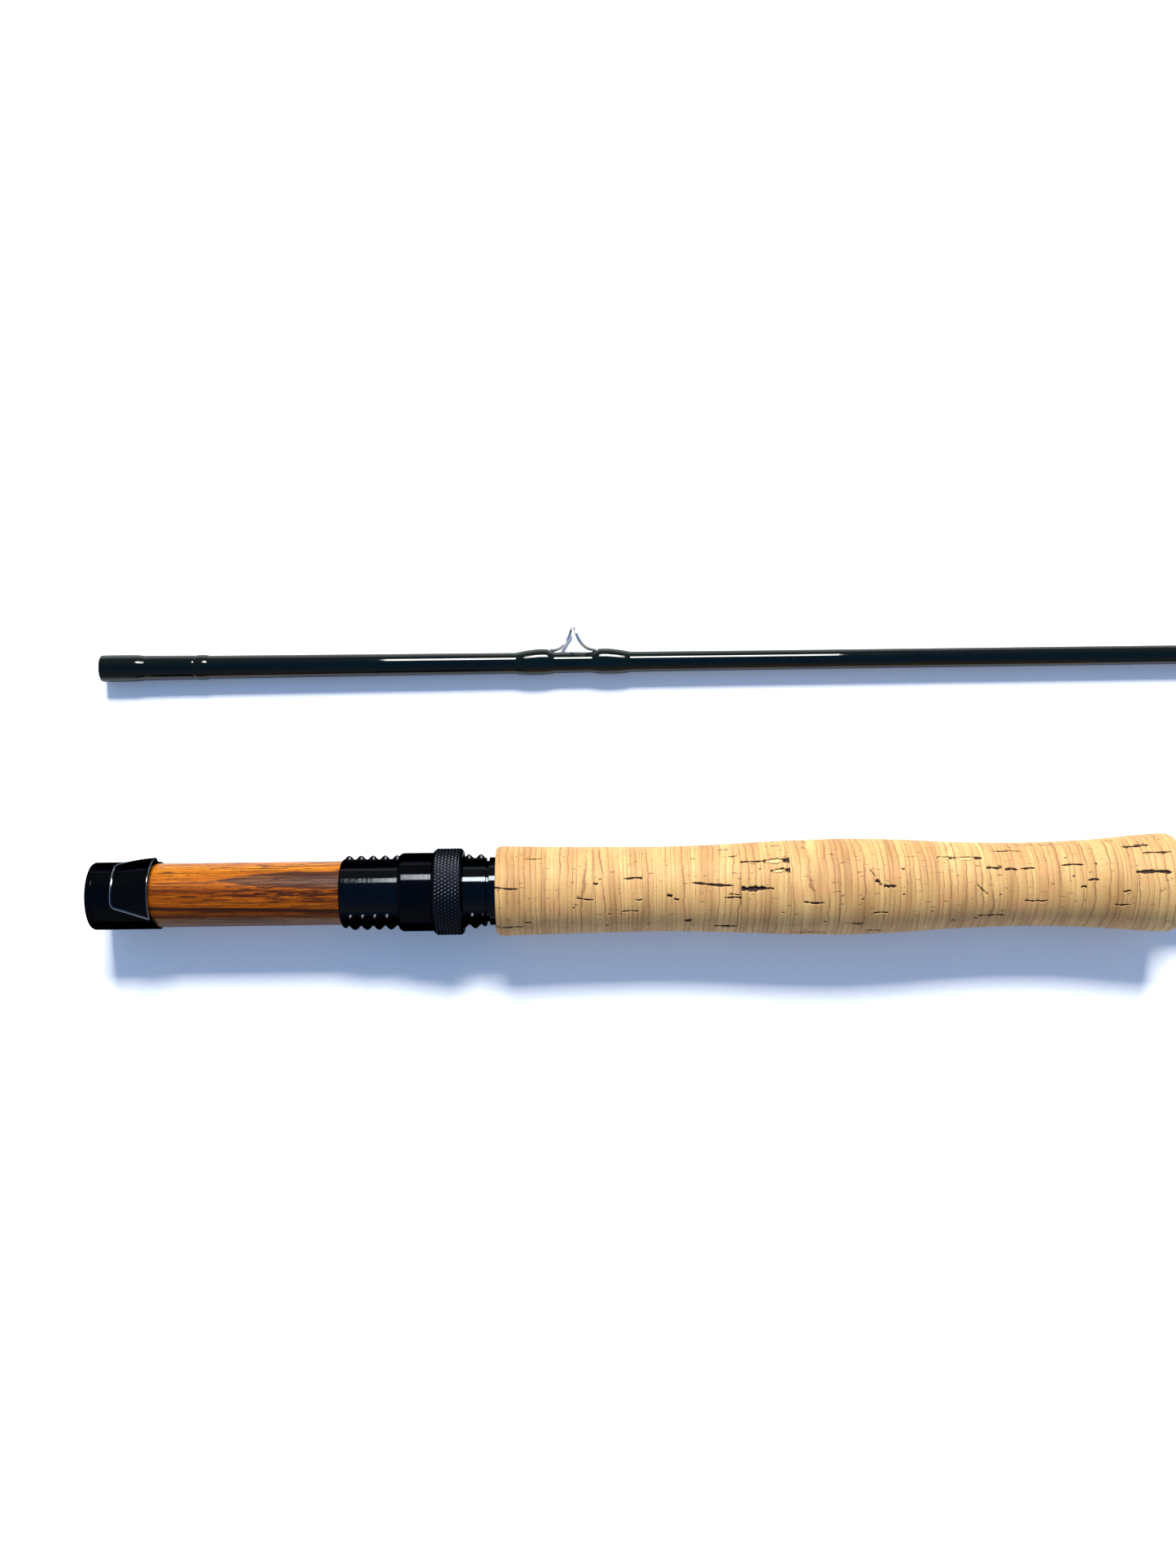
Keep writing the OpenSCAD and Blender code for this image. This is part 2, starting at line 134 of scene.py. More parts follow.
def grid(points, closed=True):
    """Quads over a (rows, columns, 3) grid that joins round; the rows join too, or each end gets a cap."""
    rows, cols = points.shape[:2]
    index = np.arange(rows * cols).reshape(rows, cols)
    if closed:
        index = np.vstack([index, index[:1]])
    a, b = index[:-1], index[1:]
    quads = np.stack([a, np.roll(a, -1, 1), np.roll(b, -1, 1), b], -1).reshape(-1, 4)
    caps = [] if closed else [index[0][::-1].tolist(), index[-1].tolist()]
    return points.reshape(-1, 3), quads, caps


def rounded(profile, radius, closed=True, steps=4):
    """The profile with its corners rounded, and a close extra point beside each round."""
    points = [np.array(p, float) for p in profile]
    out = []
    for i, p in enumerate(points):
        if not closed and i in (0, len(points) - 1):
            out.append(p)
            continue
        before, after = points[i - 1] - p, points[(i + 1) % len(points)] - p
        reach = [min(0.42, radius / np.linalg.norm(d)) for d in (before, after)]
        near = [min(0.48, (radius + 0.05) / np.linalg.norm(d)) for d in (before, after)]
        a, b = p + before * reach[0], p + after * reach[1]
        out.append(p + before * near[0])
        for k in range(steps + 1):
            t = k / steps
            out.append((1 - t) ** 2 * a + 2 * t * (1 - t) * p + t * t * b)
        out.append(p + after * near[1])
    return out


def lathe(profile, cols=96, closed=True, centre=0.0):
    """Turns a (radius, z) profile round an axis at x = centre: outside first, with z rising."""
    p = np.array(profile, float)
    points = polar(p[:, :1], angles(cols)[None], p[:, 1:])
    points[..., 0] += centre
    return grid(points, closed)


def sweep(path, across, up, sides=14, closed=False):
    """A bar along path: across and up are its radii along the frame that starts from +x."""
    path = np.asarray(path, float)
    if closed:
        tangents = np.roll(path, -1, 0) - np.roll(path, 1, 0)
    else:
        tangents = np.gradient(path, axis=0)
    tangents /= np.linalg.norm(tangents, axis=1)[:, None]
    normal = np.array([1.0, 0, 0]) if abs(tangents[0][0]) < 0.9 else np.array([0, 0, 1.0])
    rows = []
    a = angles(sides)[:, None]
    across = np.broadcast_to(across, len(path))
    up = np.broadcast_to(up, len(path))
    for p, t, ra, ru in zip(path, tangents, across, up):
        normal = normal - (normal @ t) * t
        normal /= np.linalg.norm(normal)
        side = np.cross(t, normal)
        rows.append(p + ru * np.cos(a) * normal + ra * np.sin(a) * side)
    return grid(np.array(rows), closed)


def curve(points, steps=24):
    """Smooth path near its points, as a Bezier of any degree."""
    t = np.linspace(0, 1, steps)[:, None]
    level = [np.array(p, float)[None] for p in points]
    while len(level) > 1:
        level = [(1 - t) * a + t * b for a, b in zip(level, level[1:])]
    return level[0]


def hoop(centre, radius, lean=90.0, count=72):
    """Circle about centre, in the plane across z when lean is 0, and turned about y by lean degrees."""
    a = angles(count)
    c, s = math.cos(lean * DEG), math.sin(lean * DEG)
    x, y = radius * np.cos(a), radius * np.sin(a)
    return np.array(centre, float) + np.stack([x * c, y, -x * s], -1)


def piece(name, parts, section, body, slot, material, nodes, sharp=35, **values):
    """Makes one piece from mesh parts, riding on its body in place of its CAD nodes."""
    points, faces, start = [], [], 0
    for verts, quads, caps in parts:
        points.append(verts)
        faces += (quads + start).tolist() + [[i + start for i in cap] for cap in caps]
        start += len(verts)
    mesh = bpy.data.meshes.new(name)
    mesh.from_pydata(section.world(np.concatenate(points)).tolist(), [], faces)
    mesh.shade_smooth()
    mesh.set_sharp_from_angle(angle=sharp * DEG)
    for key, value in values.items():
        mesh.attributes.new(key, "FLOAT", "POINT").data.foreach_set("value", value.astype(np.float32).ravel())
    mesh.materials.append(material)
    obj = bpy.data.objects.new(name, mesh)
    bpy.context.scene.collection.objects.link(obj)
    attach(obj, body)
    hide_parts(*nodes)
    return obj


# ---- Materials ----

class Graph:
    """A material whose constants sit on the shader's own sockets, with coordinates in the frame's metres."""

    def __init__(self, name, **constants):
        self.material = bpy.data.materials.new(name)
        self.material.use_nodes = True
        self.tree = self.material.node_tree
        self.tree.nodes.clear()
        out = self.tree.nodes.new("ShaderNodeOutputMaterial")
        self.shader = self.tree.nodes.new("ShaderNodeBsdfPrincipled")
        self.tree.links.new(self.shader.outputs[0], out.inputs[0])
        for key, value in constants.items():
            self.shader.inputs[key.replace("_", " ")].default_value = value
        coords = self.tree.nodes.new("ShaderNodeTexCoord")
        self.coords = coords.outputs["Object"]
        split = self.node("SeparateXYZ", {}, self.coords)
        self.x, self.y, self.z = split.outputs

    def node(self, kind, props, *inputs):
        n = self.tree.nodes.new("ShaderNode" + kind)
        for key, value in props.items():
            setattr(n, key, value)
        for socket, value in zip(n.inputs, inputs):
            self.put(value, socket)
        return n

    def put(self, value, socket):
        if isinstance(value, bpy.types.NodeSocket):
            self.tree.links.new(value, socket)
        elif value is not None:
            socket.default_value = value

    def set(self, key, value):
        self.put(value, self.shader.inputs[key])

    def linked(self, key):
        """The socket that feeds one of the shader's inputs so far."""
        return self.shader.inputs[key].links[0].from_socket

    def math(self, operation, *inputs):
        return self.node("Math", {"operation": operation}, *inputs).outputs[0]

    def clamp(self, value, low, high, to_low=0.0, to_high=1.0):
        """A smooth step from to_low, where value is low, to to_high, where it is high."""
        n = self.node("MapRange", {"interpolation_type": "SMOOTHSTEP"}, value, low, high, to_low, to_high)
        return n.outputs[0]

    def stretched(self, scale, offset=(0, 0, 0)):
        """Object coordinates times scale, plus an offset that may be another vector."""
        scaled = self.node("VectorMath", {"operation": "MULTIPLY"}, self.coords, scale).outputs[0]
        return self.node("VectorMath", {"operation": "ADD"}, scaled, offset).outputs[0]

    def noise(self, vector, detail=2.0, roughness=0.5):
        n = self.node("TexNoise", {}, vector)
        n.inputs["Scale"].default_value = 1.0
        n.inputs["Detail"].default_value = detail
        n.inputs["Roughness"].default_value = roughness
        return n.outputs[0]

    def ramp(self, value, stops):
        n = self.node("ValToRGB", {}, value)
        elements = n.color_ramp.elements
        while len(elements) < len(stops):
            elements.new(0.5)
        for element, (position, colour) in zip(elements, sorted(stops)):
            element.position = position
            element.color = (*colour, 1)
        return n.outputs[0]

    def mix(self, amount, a, b, blend="MIX"):
        n = self.node("Mix", {"data_type": "RGBA", "blend_type": blend}, amount)
        for socket, value in ((n.inputs[6], a), (n.inputs[7], b)):
            self.put((*value, 1) if isinstance(value, tuple) else value, socket)
        return n.outputs[2]

    def bump(self, height, distance, strength=1.0):
        n = self.tree.nodes.new("ShaderNodeBump")
        n.inputs["Strength"].default_value = strength
        n.inputs["Distance"].default_value = distance
        self.put(height, n.inputs["Height"])
        self.put(n.outputs[0], self.shader.inputs["Normal"])

    def attribute(self, name):
        n = self.tree.nodes.new("ShaderNodeAttribute")
        n.attribute_name = name
        return n.outputs["Fac"]


def black_metal(name, colour, cloudy, roughness, rubbed):
    """Anodised aluminium, turned on a lathe: fine rings round the axis, cloudy sheen and rubbed specks."""
    g = Graph(name, Metallic=1.0, Specular_Tint=(0.12, 0.13, 0.16, 1))
    rings = g.noise(g.stretched((9000, 90, 90)), 2)
    cloud = g.noise(g.stretched((240, 240, 240)), 3)
    specks = g.clamp(g.noise(g.stretched((1300, 1900, 1900)), 3), 0.66, 0.74)
    g.set("Base Color", g.mix(g.math("MULTIPLY", specks, 0.5), g.mix(cloud, colour, cloudy), rubbed))
    rough = g.math("ADD", g.math("MULTIPLY", cloud, 0.06), roughness - 0.03)
    g.set("Roughness", g.math("ADD", rough, g.math("MULTIPLY", specks, 0.08)))
    g.bump(g.math("ADD", rings, g.math("MULTIPLY", specks, 0.4)), 0.000004)
    return g


def marked_metal(name, look, attribute, colour, rougher):
    """Black metal with another colour and more roughness where the mesh's attribute says so."""
    g = black_metal(name, *look)
    mark = g.attribute(attribute)
    g.set("Base Color", g.mix(mark, g.linked("Base Color"), colour))
    g.set("Roughness", g.math("MULTIPLY_ADD", mark, rougher, g.linked("Roughness")))
    return g.material


def make_materials():
    m = {}
    # Black metals: colour, colour where it is cloudy, roughness, and colour of the rubbed specks
    gloss, rubbed = 0.07, (0.035, 0.037, 0.04)
    anodised = (0.0045, 0.005, 0.006), (0.0075, 0.008, 0.009), gloss, rubbed
    barrel = (0.009, 0.01, 0.0115), (0.0125, 0.0135, 0.015), gloss, rubbed
    knurled = (0.005, 0.006, 0.008), (0.01, 0.011, 0.014), 0.3, (0.025, 0.027, 0.03)
    m["black_anodised"] = black_metal("black_anodised", *anodised).material
    # The hood's edge attribute carries a painted highlight: a pale, rougher line of colour along the pocket's
    # rim and mouth
    m["black_hood"] = marked_metal("black_hood", anodised, "edge", (0.21, 0.23, 0.26), 0.25)
    m["black_barrel"] = marked_metal("black_barrel", barrel, "cut", (0.0035, 0.004, 0.005), 0.24)
    g = black_metal("black_knurled", *knurled)
    # Lighter crests on the knurl: partly rubbed wear, partly a painted highlight standing in for the glints
    # along them
    crest_wear_and_glint = g.clamp(g.attribute("crest"), 0.55, 0.95)
    g.set("Base Color", g.mix(crest_wear_and_glint, g.linked("Base Color"), (0.06, 0.065, 0.078)))
    m["black_knurled"] = g.material

    m["figured_wood"] = wood_material()
    m["cork"] = cork_material()

    g = Graph("arbor_tape", Roughness=0.8)
    fibre = g.noise(g.stretched((2500, 500, 500)), 3)
    g.set("Base Color", g.ramp(fibre, [(0.3, (0.55, 0.45, 0.27)), (0.7, (0.78, 0.68, 0.45))]))
    g.bump(fibre, 0.00005)
    m["arbor_tape"] = g.material

    m["green_blank"] = blank_material()

    g = Graph("black_plug", Roughness=0.4)
    grain = g.noise(g.stretched((3000, 3000, 3000)), 2)
    g.set("Base Color", g.mix(grain, (0.01, 0.01, 0.011), (0.03, 0.03, 0.032)))
    g.bump(grain, 0.00001)
    m["black_plug"] = g.material

    m["green_wrap"] = wrap_material("green_wrap", (0.0002, 0.0013, 0.001), (0.0006, 0.0036, 0.0026))
    m["dark_wrap"] = wrap_material("dark_wrap", (0.0002, 0.0009, 0.0005), (0.0005, 0.0024, 0.0012))

    g = Graph("clear_coat", Roughness=0.05, IOR=1.33, Specular_IOR_Level=0.4)
    cloud = g.noise(g.stretched((300, 600, 600)), 3)
    g.set("Base Color", g.mix(cloud, (0.0001, 0.0008, 0.0008), (0.0003, 0.0018, 0.0018)))
    g.bump(g.noise(g.stretched((260, 420, 420)), 1), 0.00006)
    m["clear_coat"] = g.material

    g = Graph("bright_wire", Metallic=1.0)
    drawn = g.noise(g.stretched((2600, 2600, 2600)), 3)
    g.set("Base Color", g.mix(drawn, (0.4, 0.4, 0.4), (0.62, 0.62, 0.62)))
    g.set("Roughness", g.clamp(drawn, 0.3, 0.7, 0.1, 0.24))
    g.bump(drawn, 0.000006)
    m["bright_wire"] = g.material

    g = Graph("guide_ceramic", Coat_Weight=0.4, Coat_Roughness=0.05, IOR=1.75)
    fine = g.noise(g.stretched((1800, 1800, 1800)), 3)
    g.set("Base Color", g.mix(fine, (0.012, 0.013, 0.016), (0.035, 0.036, 0.042)))
    g.set("Roughness", g.clamp(fine, 0.2, 0.8, 0.08, 0.2))
    g.bump(fine, 0.000004)
    m["guide_ceramic"] = g.material
    return m


def wood_material():
    """Oiled and varnished hardwood: dark pores and streaks along the grain, and two dark figure bands."""
    g = Graph("figured_wood", IOR=1.3, Specular_IOR_Level=0.15)
    degrees = g.math("MULTIPLY", g.math("ARCTAN2", g.y, g.z), 1 / DEG)
    sway = g.noise(g.stretched((28, 260, 260)), 3)
    drift = g.noise(g.stretched((75, 900, 900), (3, 1, 7)), 3)
    wander = g.math("ADD", g.math("MULTIPLY", g.math("SUBTRACT", sway, 0.5), 16.0),
                    g.math("MULTIPLY", g.math("SUBTRACT", drift, 0.5), 9.0))
    angle = g.math("ADD", degrees, wander)
    share = g.math("MULTIPLY_ADD", angle, 1 / 360, 0.5)
    deep, rich, amber = (0.05, 0.012, 0.002), (0.2, 0.046, 0.002), (0.34, 0.094, 0.004)
    pale, dull, duller = (0.46, 0.165, 0.01), (0.2, 0.085, 0.03), (0.16, 0.06, 0.02)
    black = (0.018, 0.005, 0.003)
    figure = g.ramp(share, [
        (0.0, rich), (0.05, amber), (0.1, deep), (0.125, rich), (0.2, amber), (0.235, rich), (0.28, dull),
        (0.325, duller), (0.372, dull), (0.381, rich), (0.387, black), (0.392, rich), (0.41, rich),
        (0.45, amber), (0.52, rich), (0.58, amber), (0.66, pale), (0.74, amber), (0.78, deep), (0.8, rich),
        (0.87, amber), (0.9, deep), (0.93, rich), (1.0, rich),
    ])
    streak = g.noise(g.stretched((34, 1150, 1150), (9, 4, 2)), 4, 0.6)
    colour = g.mix(g.clamp(streak, 0.36, 0.66), g.mix(1.0, figure, (0.62, 0.5, 0.42), "MULTIPLY"), figure)
    # Dark wedge of heartwood, widening towards the barrel
    wedge_start, wedge_angle = 34.5, 28.5
    millimetres = g.math("MULTIPLY", g.x, 1000.0)
    past = g.math("MAXIMUM", g.math("SUBTRACT", millimetres, wedge_start), 0.0)
    half = g.math("MULTIPLY_ADD", g.math("SQRT", past), 3.5, -1.5)
    frayed = g.math("MULTIPLY_ADD", g.noise(g.stretched((70, 1700, 1700), (1, 6, 3)), 2), 16.0, -8.0)
    from_middle = g.math("ABSOLUTE", g.math("SUBTRACT", angle, wedge_angle))
    wedge = g.clamp(g.math("ADD", g.math("SUBTRACT", from_middle, half), frayed), 2.0, -2.0)
    heart = g.ramp(g.noise(g.stretched((60, 1500, 1500), (5, 5, 5)), 3), [
        (0.3, (0.016, 0.005, 0.003)), (0.5, (0.052, 0.019, 0.009)), (0.7, (0.13, 0.05, 0.018))])
    colour = g.mix(wedge, colour, heart)
    # Dark band below the middle, drifting away from it along the seat
    band_angle, band_drift = -17.5, -0.18
    band = g.math("SUBTRACT", g.math("MULTIPLY_ADD", wander, 0.35, degrees),
                  g.math("MULTIPLY_ADD", millimetres, band_drift, band_angle))
    colour = g.mix(g.clamp(g.math("ABSOLUTE", band), 5.6, 2.6, 0.0, 0.94), colour, black)
    # Open pores: short dark dashes along the grain, thicker near the wedge's lower edge
    pores = g.noise(g.stretched((170, 3000, 3000)), 3, 0.6)
    low_edge = g.clamp(g.math("ABSOLUTE", g.math("SUBTRACT", degrees, 4.0)), 17.0, 3.0, 0.0, 0.12)
    along = g.clamp(millimetres, 24.0, 44.0)
    limit = g.math("SUBTRACT", 0.585, g.math("MULTIPLY", low_edge, along))
    dash = g.clamp(g.math("SUBTRACT", pores, limit), 0.0, 0.045)
    fine = g.clamp(g.noise(g.stretched((600, 7000, 7000), (2, 8, 1)), 2), 0.58, 0.68, 0.0, 0.5)
    fibre = g.clamp(g.noise(g.stretched((52, 2100, 2100), (4, 7, 7)), 4, 0.65), 0.49, 0.62, 0.0, 0.85)
    marks = g.math("MAXIMUM", dash, g.math("MAXIMUM", fine, fibre))
    g.set("Base Color", g.mix(marks, colour, (0.03, 0.008, 0.003)))
    g.set("Roughness", g.clamp(streak, 0.3, 0.7, 0.34, 0.24))
    g.bump(g.math("SUBTRACT", 1.0, marks), 0.00002, 0.5)
    return g.material


def cork_material():
    """Specie cork: growth lines round the grip, a tint and tilt for each ring, flecks and dark cracks."""
    g = Graph("cork", Specular_IOR_Level=0.25)
    ring = g.math("FLOOR", g.math("DIVIDE", g.math("SUBTRACT", g.x, GRIP_Z / 1000), RING_T / 1000))
    white = g.node("TexWhiteNoise", {"noise_dimensions": "1D"})
    g.put(ring, white.inputs["W"])
    tints = g.node("SeparateColor", {}, white.outputs["Color"]).outputs
    scaled = g.node("VectorMath", {"operation": "SCALE"}, white.outputs["Color"])
    scaled.inputs["Scale"].default_value = 40.0
    shift = scaled.outputs[0]
    # Growth lines: a warped count of lines along the rod, dark where it passes a whole number
    spacing = g.math("MULTIPLY_ADD", tints[2], 280.0, 520.0)
    tilt = g.math("MULTIPLY", g.math("ADD", g.math("MULTIPLY", g.y, g.math("SUBTRACT", tints[0], 0.5)),
                                     g.math("MULTIPLY", g.z, g.math("SUBTRACT", tints[1], 0.5))), 50.0)
    drift = g.math("MULTIPLY", g.noise(g.stretched((160, 5, 5), shift), 1), 4.0)
    sway = g.math("MULTIPLY", g.noise(g.stretched((130, 170, 170), shift), 3, 0.6), 0.75)
    count = g.math("ADD", g.math("MULTIPLY", g.x, spacing), g.math("ADD", tilt, g.math("ADD", drift, sway)))
    part = g.math("FRACT", count)
    edge = g.math("ABSOLUTE", g.math("SUBTRACT", part, 0.5))
    strength = g.clamp(g.noise(g.stretched((260, 110, 110), shift), 2), 0.3, 0.62, 0.15, 1.0)
    line = g.math("MULTIPLY", g.clamp(edge, 0.38, 0.47), strength)
    shade = g.math("MULTIPLY", g.math("POWER", part, 2.5), 0.42)
    bands = g.noise(g.stretched((300, 40, 40), shift), 2, 0.45)
    growth = g.math("SUBTRACT", bands, g.math("MULTIPLY", shade, 0.3))
    colour = g.ramp(growth, [(0.24, (0.31, 0.165, 0.058)), (0.4, (0.39, 0.225, 0.082)),
                             (0.54, (0.44, 0.27, 0.1)), (0.72, (0.51, 0.335, 0.132))])
    darker = g.mix(1.0, colour, (0.9, 0.88, 0.84), "MULTIPLY")
    colour = g.mix(g.clamp(tints[1], 0.0, 1.0), darker, colour)
    # Reddish patches, growth lines, grain and flecks
    patch = g.noise(g.stretched((110, 150, 150), shift), 3)
    colour = g.mix(g.clamp(patch, 0.5, 0.7, 0.0, 0.45), colour, (0.44, 0.2, 0.085))
    colour = g.mix(g.math("MULTIPLY", line, 0.8), colour, (0.15, 0.065, 0.025))
    grain = g.noise(g.stretched((1500, 1500, 1500)), 3, 0.6)
    colour = g.mix(g.clamp(grain, 0.35, 0.65, 0.14, 0.0), colour, (0.25, 0.13, 0.05))
    fleck = g.clamp(g.noise(g.stretched((420, 1700, 1700), shift), 2), 0.65, 0.72, 0.0, 0.85)
    colour = g.mix(fleck, colour, (0.13, 0.05, 0.02))
    colour = g.mix(g.clamp(g.attribute("crack"), 0.1, 0.5), colour, (0.022, 0.008, 0.004))
    colour = g.mix(g.attribute("hollow"), colour, (0.55, 0.37, 0.15))
    g.set("Base Color", colour)
    g.set("Roughness", g.clamp(grain, 0.3, 0.7, 0.72, 0.58))
    height = g.math("SUBTRACT", g.math("MULTIPLY", grain, 0.5), g.math("MULTIPLY", line, 0.35))
    g.bump(g.math("SUBTRACT", height, g.math("MULTIPLY", fleck, 0.5)), 0.00009, 0.6)
    return g.material


def blank_material():
    """Blank under deep green varnish, bare and finely sanded on the butt section's male ferrule."""
    g = Graph("green_blank", IOR=1.33, Specular_IOR_Level=0.4)
    weave = g.noise(g.stretched((160, 900, 900)), 3)
    glint = g.clamp(g.noise(g.stretched((1500, 5200, 5200)), 1), 0.62, 0.75, 0.0, 0.5)
    green = g.mix(glint, g.mix(weave, (0.0001, 0.0009, 0.0009), (0.0003, 0.0022, 0.002)), (0.001, 0.009, 0.006))
    scratches = g.noise(g.stretched((14000, 500, 500)), 2)
    bare = g.mix(scratches, (0.012, 0.013, 0.014), (0.045, 0.046, 0.05))
    past_varnish = g.clamp(g.x, (LENGTH - FERRULE - 5) / 1000, (LENGTH - FERRULE - 3) / 1000)
    on_butt = g.clamp(g.y, 0.02, 0.019)
    sanded = g.math("MULTIPLY", past_varnish, on_butt)
    g.set("Base Color", g.mix(sanded, green, bare))
    varnish = g.clamp(weave, 0.3, 0.7, 0.02, 0.045)
    g.set("Roughness", g.math("ADD", varnish, g.math("MULTIPLY", sanded, 0.3)))
    g.bump(g.noise(g.stretched((300, 240, 240)), 1), 0.00002, 0.4)
    return g.material


def wrap_material(name, dark, light):
    """Thread wound close round the rod, under a clear coat."""
    g = Graph(name, IOR=1.33, Specular_IOR_Level=0.4)
    thread = 0.00022
    turns = g.math("SINE", g.math("MULTIPLY", g.x, TURN / thread))
    strands = g.noise(g.stretched((2600, 700, 700)), 2)
    tone = g.math("ADD", g.math("MULTIPLY_ADD", turns, 0.28, 0.3), g.math("MULTIPLY", strands, 0.4))
    g.set("Base Color", g.mix(tone, dark, light))
    g.set("Roughness", g.clamp(strands, 0.3, 0.7, 0.05, 0.1))
    runs = g.noise(g.stretched((330, 330, 330)), 1)
    g.bump(g.math("ADD", g.math("MULTIPLY", turns, 0.1), runs), 0.00003, 0.5)
    return g.material


MATERIAL = make_materials()


def add(name, parts, body, slot, **more):
    """The finer piece that stands in for the CAD node of this name."""
    section = TIP if body == "tip_section" else BUTT
    material = more.pop("material", MATERIAL[slot])
    return piece("fine_" + name, parts, section, body, slot, material, [name], **more)


# ---- Reel seat ----

def thread_r(a, z, grow=0.0, faded=True):
    ridge = (1 - np.cos(TURN * (z / PITCH - a / TURN))) / 2
    fade = np.clip(np.minimum((z - BARREL_Z) / 0.9, (GROOVE_Z - z) / 0.9), 0, 1) if faded else 1
    return ROOT_R + grow + (CREST_R - ROOT_R) * ridge * fade


def from_guides(a):
    """Angle from the section's guide side, from -180 to 180 degrees."""
    return (a / DEG + 180) % 360 - 180


def butt_cap():
    profile = [(5.2, 0.22), (5.9, 0.22), (6.1, 0.0), (HOOD_R - 0.8, 0), (HOOD_R - 0.25, 0.25), (HOOD_R, 0.8),
               (HOOD_R, CAP_T), (TENON_REAR - 0.1, CAP_T), (TENON_REAR - 0.1, 4.0)]
    points = rounded(profile, 0.12, closed=False)
    add("butt_cap", [lathe(points, 128, closed=False)], "butt_section", "black_anodised")


POCKET_Z, POCKET_SLANT, POCKET_CORNER = 6.5, 8.7, 1.6


def inside_pocket(a, z, inset):
    """How far a point of the hood is inside the raised pocket's outline."""
    width = 6.2 + 2.1 * (z - POCKET_Z) / (HOOD_MOUTH - POCKET_Z)
    sideways = width - inset - np.abs(HOOD_R * np.sin(a))
    forward = z - POCKET_Z - inset + 0 * a
    corner = POCKET_CORNER
    both = (sideways < corner) & (forward < corner)
    away = corner - np.hypot(corner - sideways, corner - forward)
    return np.where(np.cos(a) < 0, -9, np.where(both, away, np.minimum(sideways, forward)))


def roof_r(a, z, radius):
    """Radius of the pocket's slanted roof."""
    lift = np.maximum(z - POCKET_Z, 0) * math.tan(POCKET_SLANT * DEG)
    return lift * np.cos(a) + np.sqrt(radius ** 2 - (lift * np.sin(a)) ** 2)


def fixed_hood():
    a = angles(240)[None]
    start, end = CAP_T + 0.05, HOOD_MOUTH
    z = np.concatenate([[start, start + 0.03, start + 0.08, start + 0.16], np.arange(2.1, end - 0.3, 0.16),
                        [end - 0.28, end - 0.2, end - 0.12, end - 0.05, end - 0.015, end]])[:, None]
    inside = inside_pocket(a, z, 0)
    step = smoothstep(inside, -0.05, 0.5)
    lip = 0.16 * np.exp(-((inside - 0.62) / 0.24) ** 2) * (inside > -1)
    outer = HOOD_R + np.maximum(roof_r(a, z, HOOD_R + 0.3) - HOOD_R, 0) * step + lip
    outer = outer - 0.14 * np.clip(1 - (z - start) / 0.16, 0, 1) ** 2
    outer = outer - 0.2 * np.clip(1 - (end - z) / 0.28, 0, 1) ** 2.5
    zi = z[::-1][3:]
    deep = smoothstep(inside_pocket(a, zi, 0.75), 0, 0.25)
    inner = TENON_REAR + GLUE + np.maximum(roof_r(a, zi, HOOD_R - 0.55) - TENON_REAR - GLUE, 0) * deep
    # The cup round the seat reaches a little further forward than the pocket's roof
    forward = 0.85 * smoothstep(inside_pocket(a, end, 0), 0.3, -0.5)
    outer_z = z + forward * smoothstep(z, end - 2.5, end)
    inner_z = zi + forward * smoothstep(zi, end - 2.5, end)
    inner = np.where(inner_z > end, np.maximum(inner, INSERT_R + GLUE), inner)
    points = np.concatenate([polar(outer, a, outer_z), polar(inner, a, inner_z)])
    # Painted highlight: where a pale line is painted along the pocket's raised rim, and a fainter one along the
    # mouth, read by the material through the edge attribute
    rim_highlight = np.exp(-((inside - 0.55) / 0.2) ** 2) * (z < end - 0.3)
    mouth = smoothstep(end - z, 0.34, 0.12) * smoothstep(inside, 0.2, 0.5)
    edge = np.concatenate([np.maximum(rim_highlight, 0.45 * mouth), np.zeros(inner.shape)])
    add("fixed_hood", [grid(points)], "butt_section", "black_anodised", material=MATERIAL["black_hood"],
        sharp=50, edge=edge)


def wood_insert():
    rear, front, end = HOOD_MOUTH + 0.05, BARREL_Z - 0.05, GRIP_Z - 0.1
    profile = [(TENON_REAR, SEAT_START), (TENON_REAR, rear), (INSERT_R, rear), (INSERT_R, front),
               (TENON_FRONT, front), (TENON_FRONT, end), (BORE_R, end), (BORE_R, SEAT_START)]
    add("wood_insert", [lathe(rounded(profile, 0.05), 128)], "butt_section", "figured_wood")


def threaded_barrel():
    a = angles(216)[None]
    z = np.concatenate([[BARREL_Z, BARREL_Z + 0.06, BARREL_Z + 0.14, BARREL_Z + 0.26],
                        np.arange(BARREL_Z + 0.4, GROOVE_Z - 0.05, 0.17), [GROOVE_Z]])[:, None]
    off = np.abs(from_guides(a))
    side = smoothstep(off, LAND_HALF - 0.8, LAND_HALF + 3.2)
    r = INSERT_R + (thread_r(a, z) - INSERT_R) * side
    r = r - 0.3 * np.clip(1 - (z - BARREL_Z) / 0.26, 0, 1) ** 2
    rows = [polar(r, a, z)]
    groove_r, collar_r, end = 8.05, 9.0, GRIP_Z - GLUE
    profile = rounded([(groove_r + 0.31, GROOVE_Z + 0.05), (groove_r, GROOVE_Z + 0.1),
                       (groove_r, COLLAR_Z - 0.05), (collar_r, COLLAR_Z), (collar_r, end)], 0.09, closed=False)
    rows += [polar(radius, a, station) for radius, station in profile]
    rows += [polar(TENON_FRONT + GLUE, a, station) for station in (end, BARREL_Z)]
    cut = np.zeros((sum(len(row) for row in rows), a.size))
    cut[:len(z)] = side
    add("threaded_barrel", [grid(np.concatenate(rows))], "butt_section", "black_knurled",
        material=MATERIAL["black_barrel"], sharp=42, cut=cut)


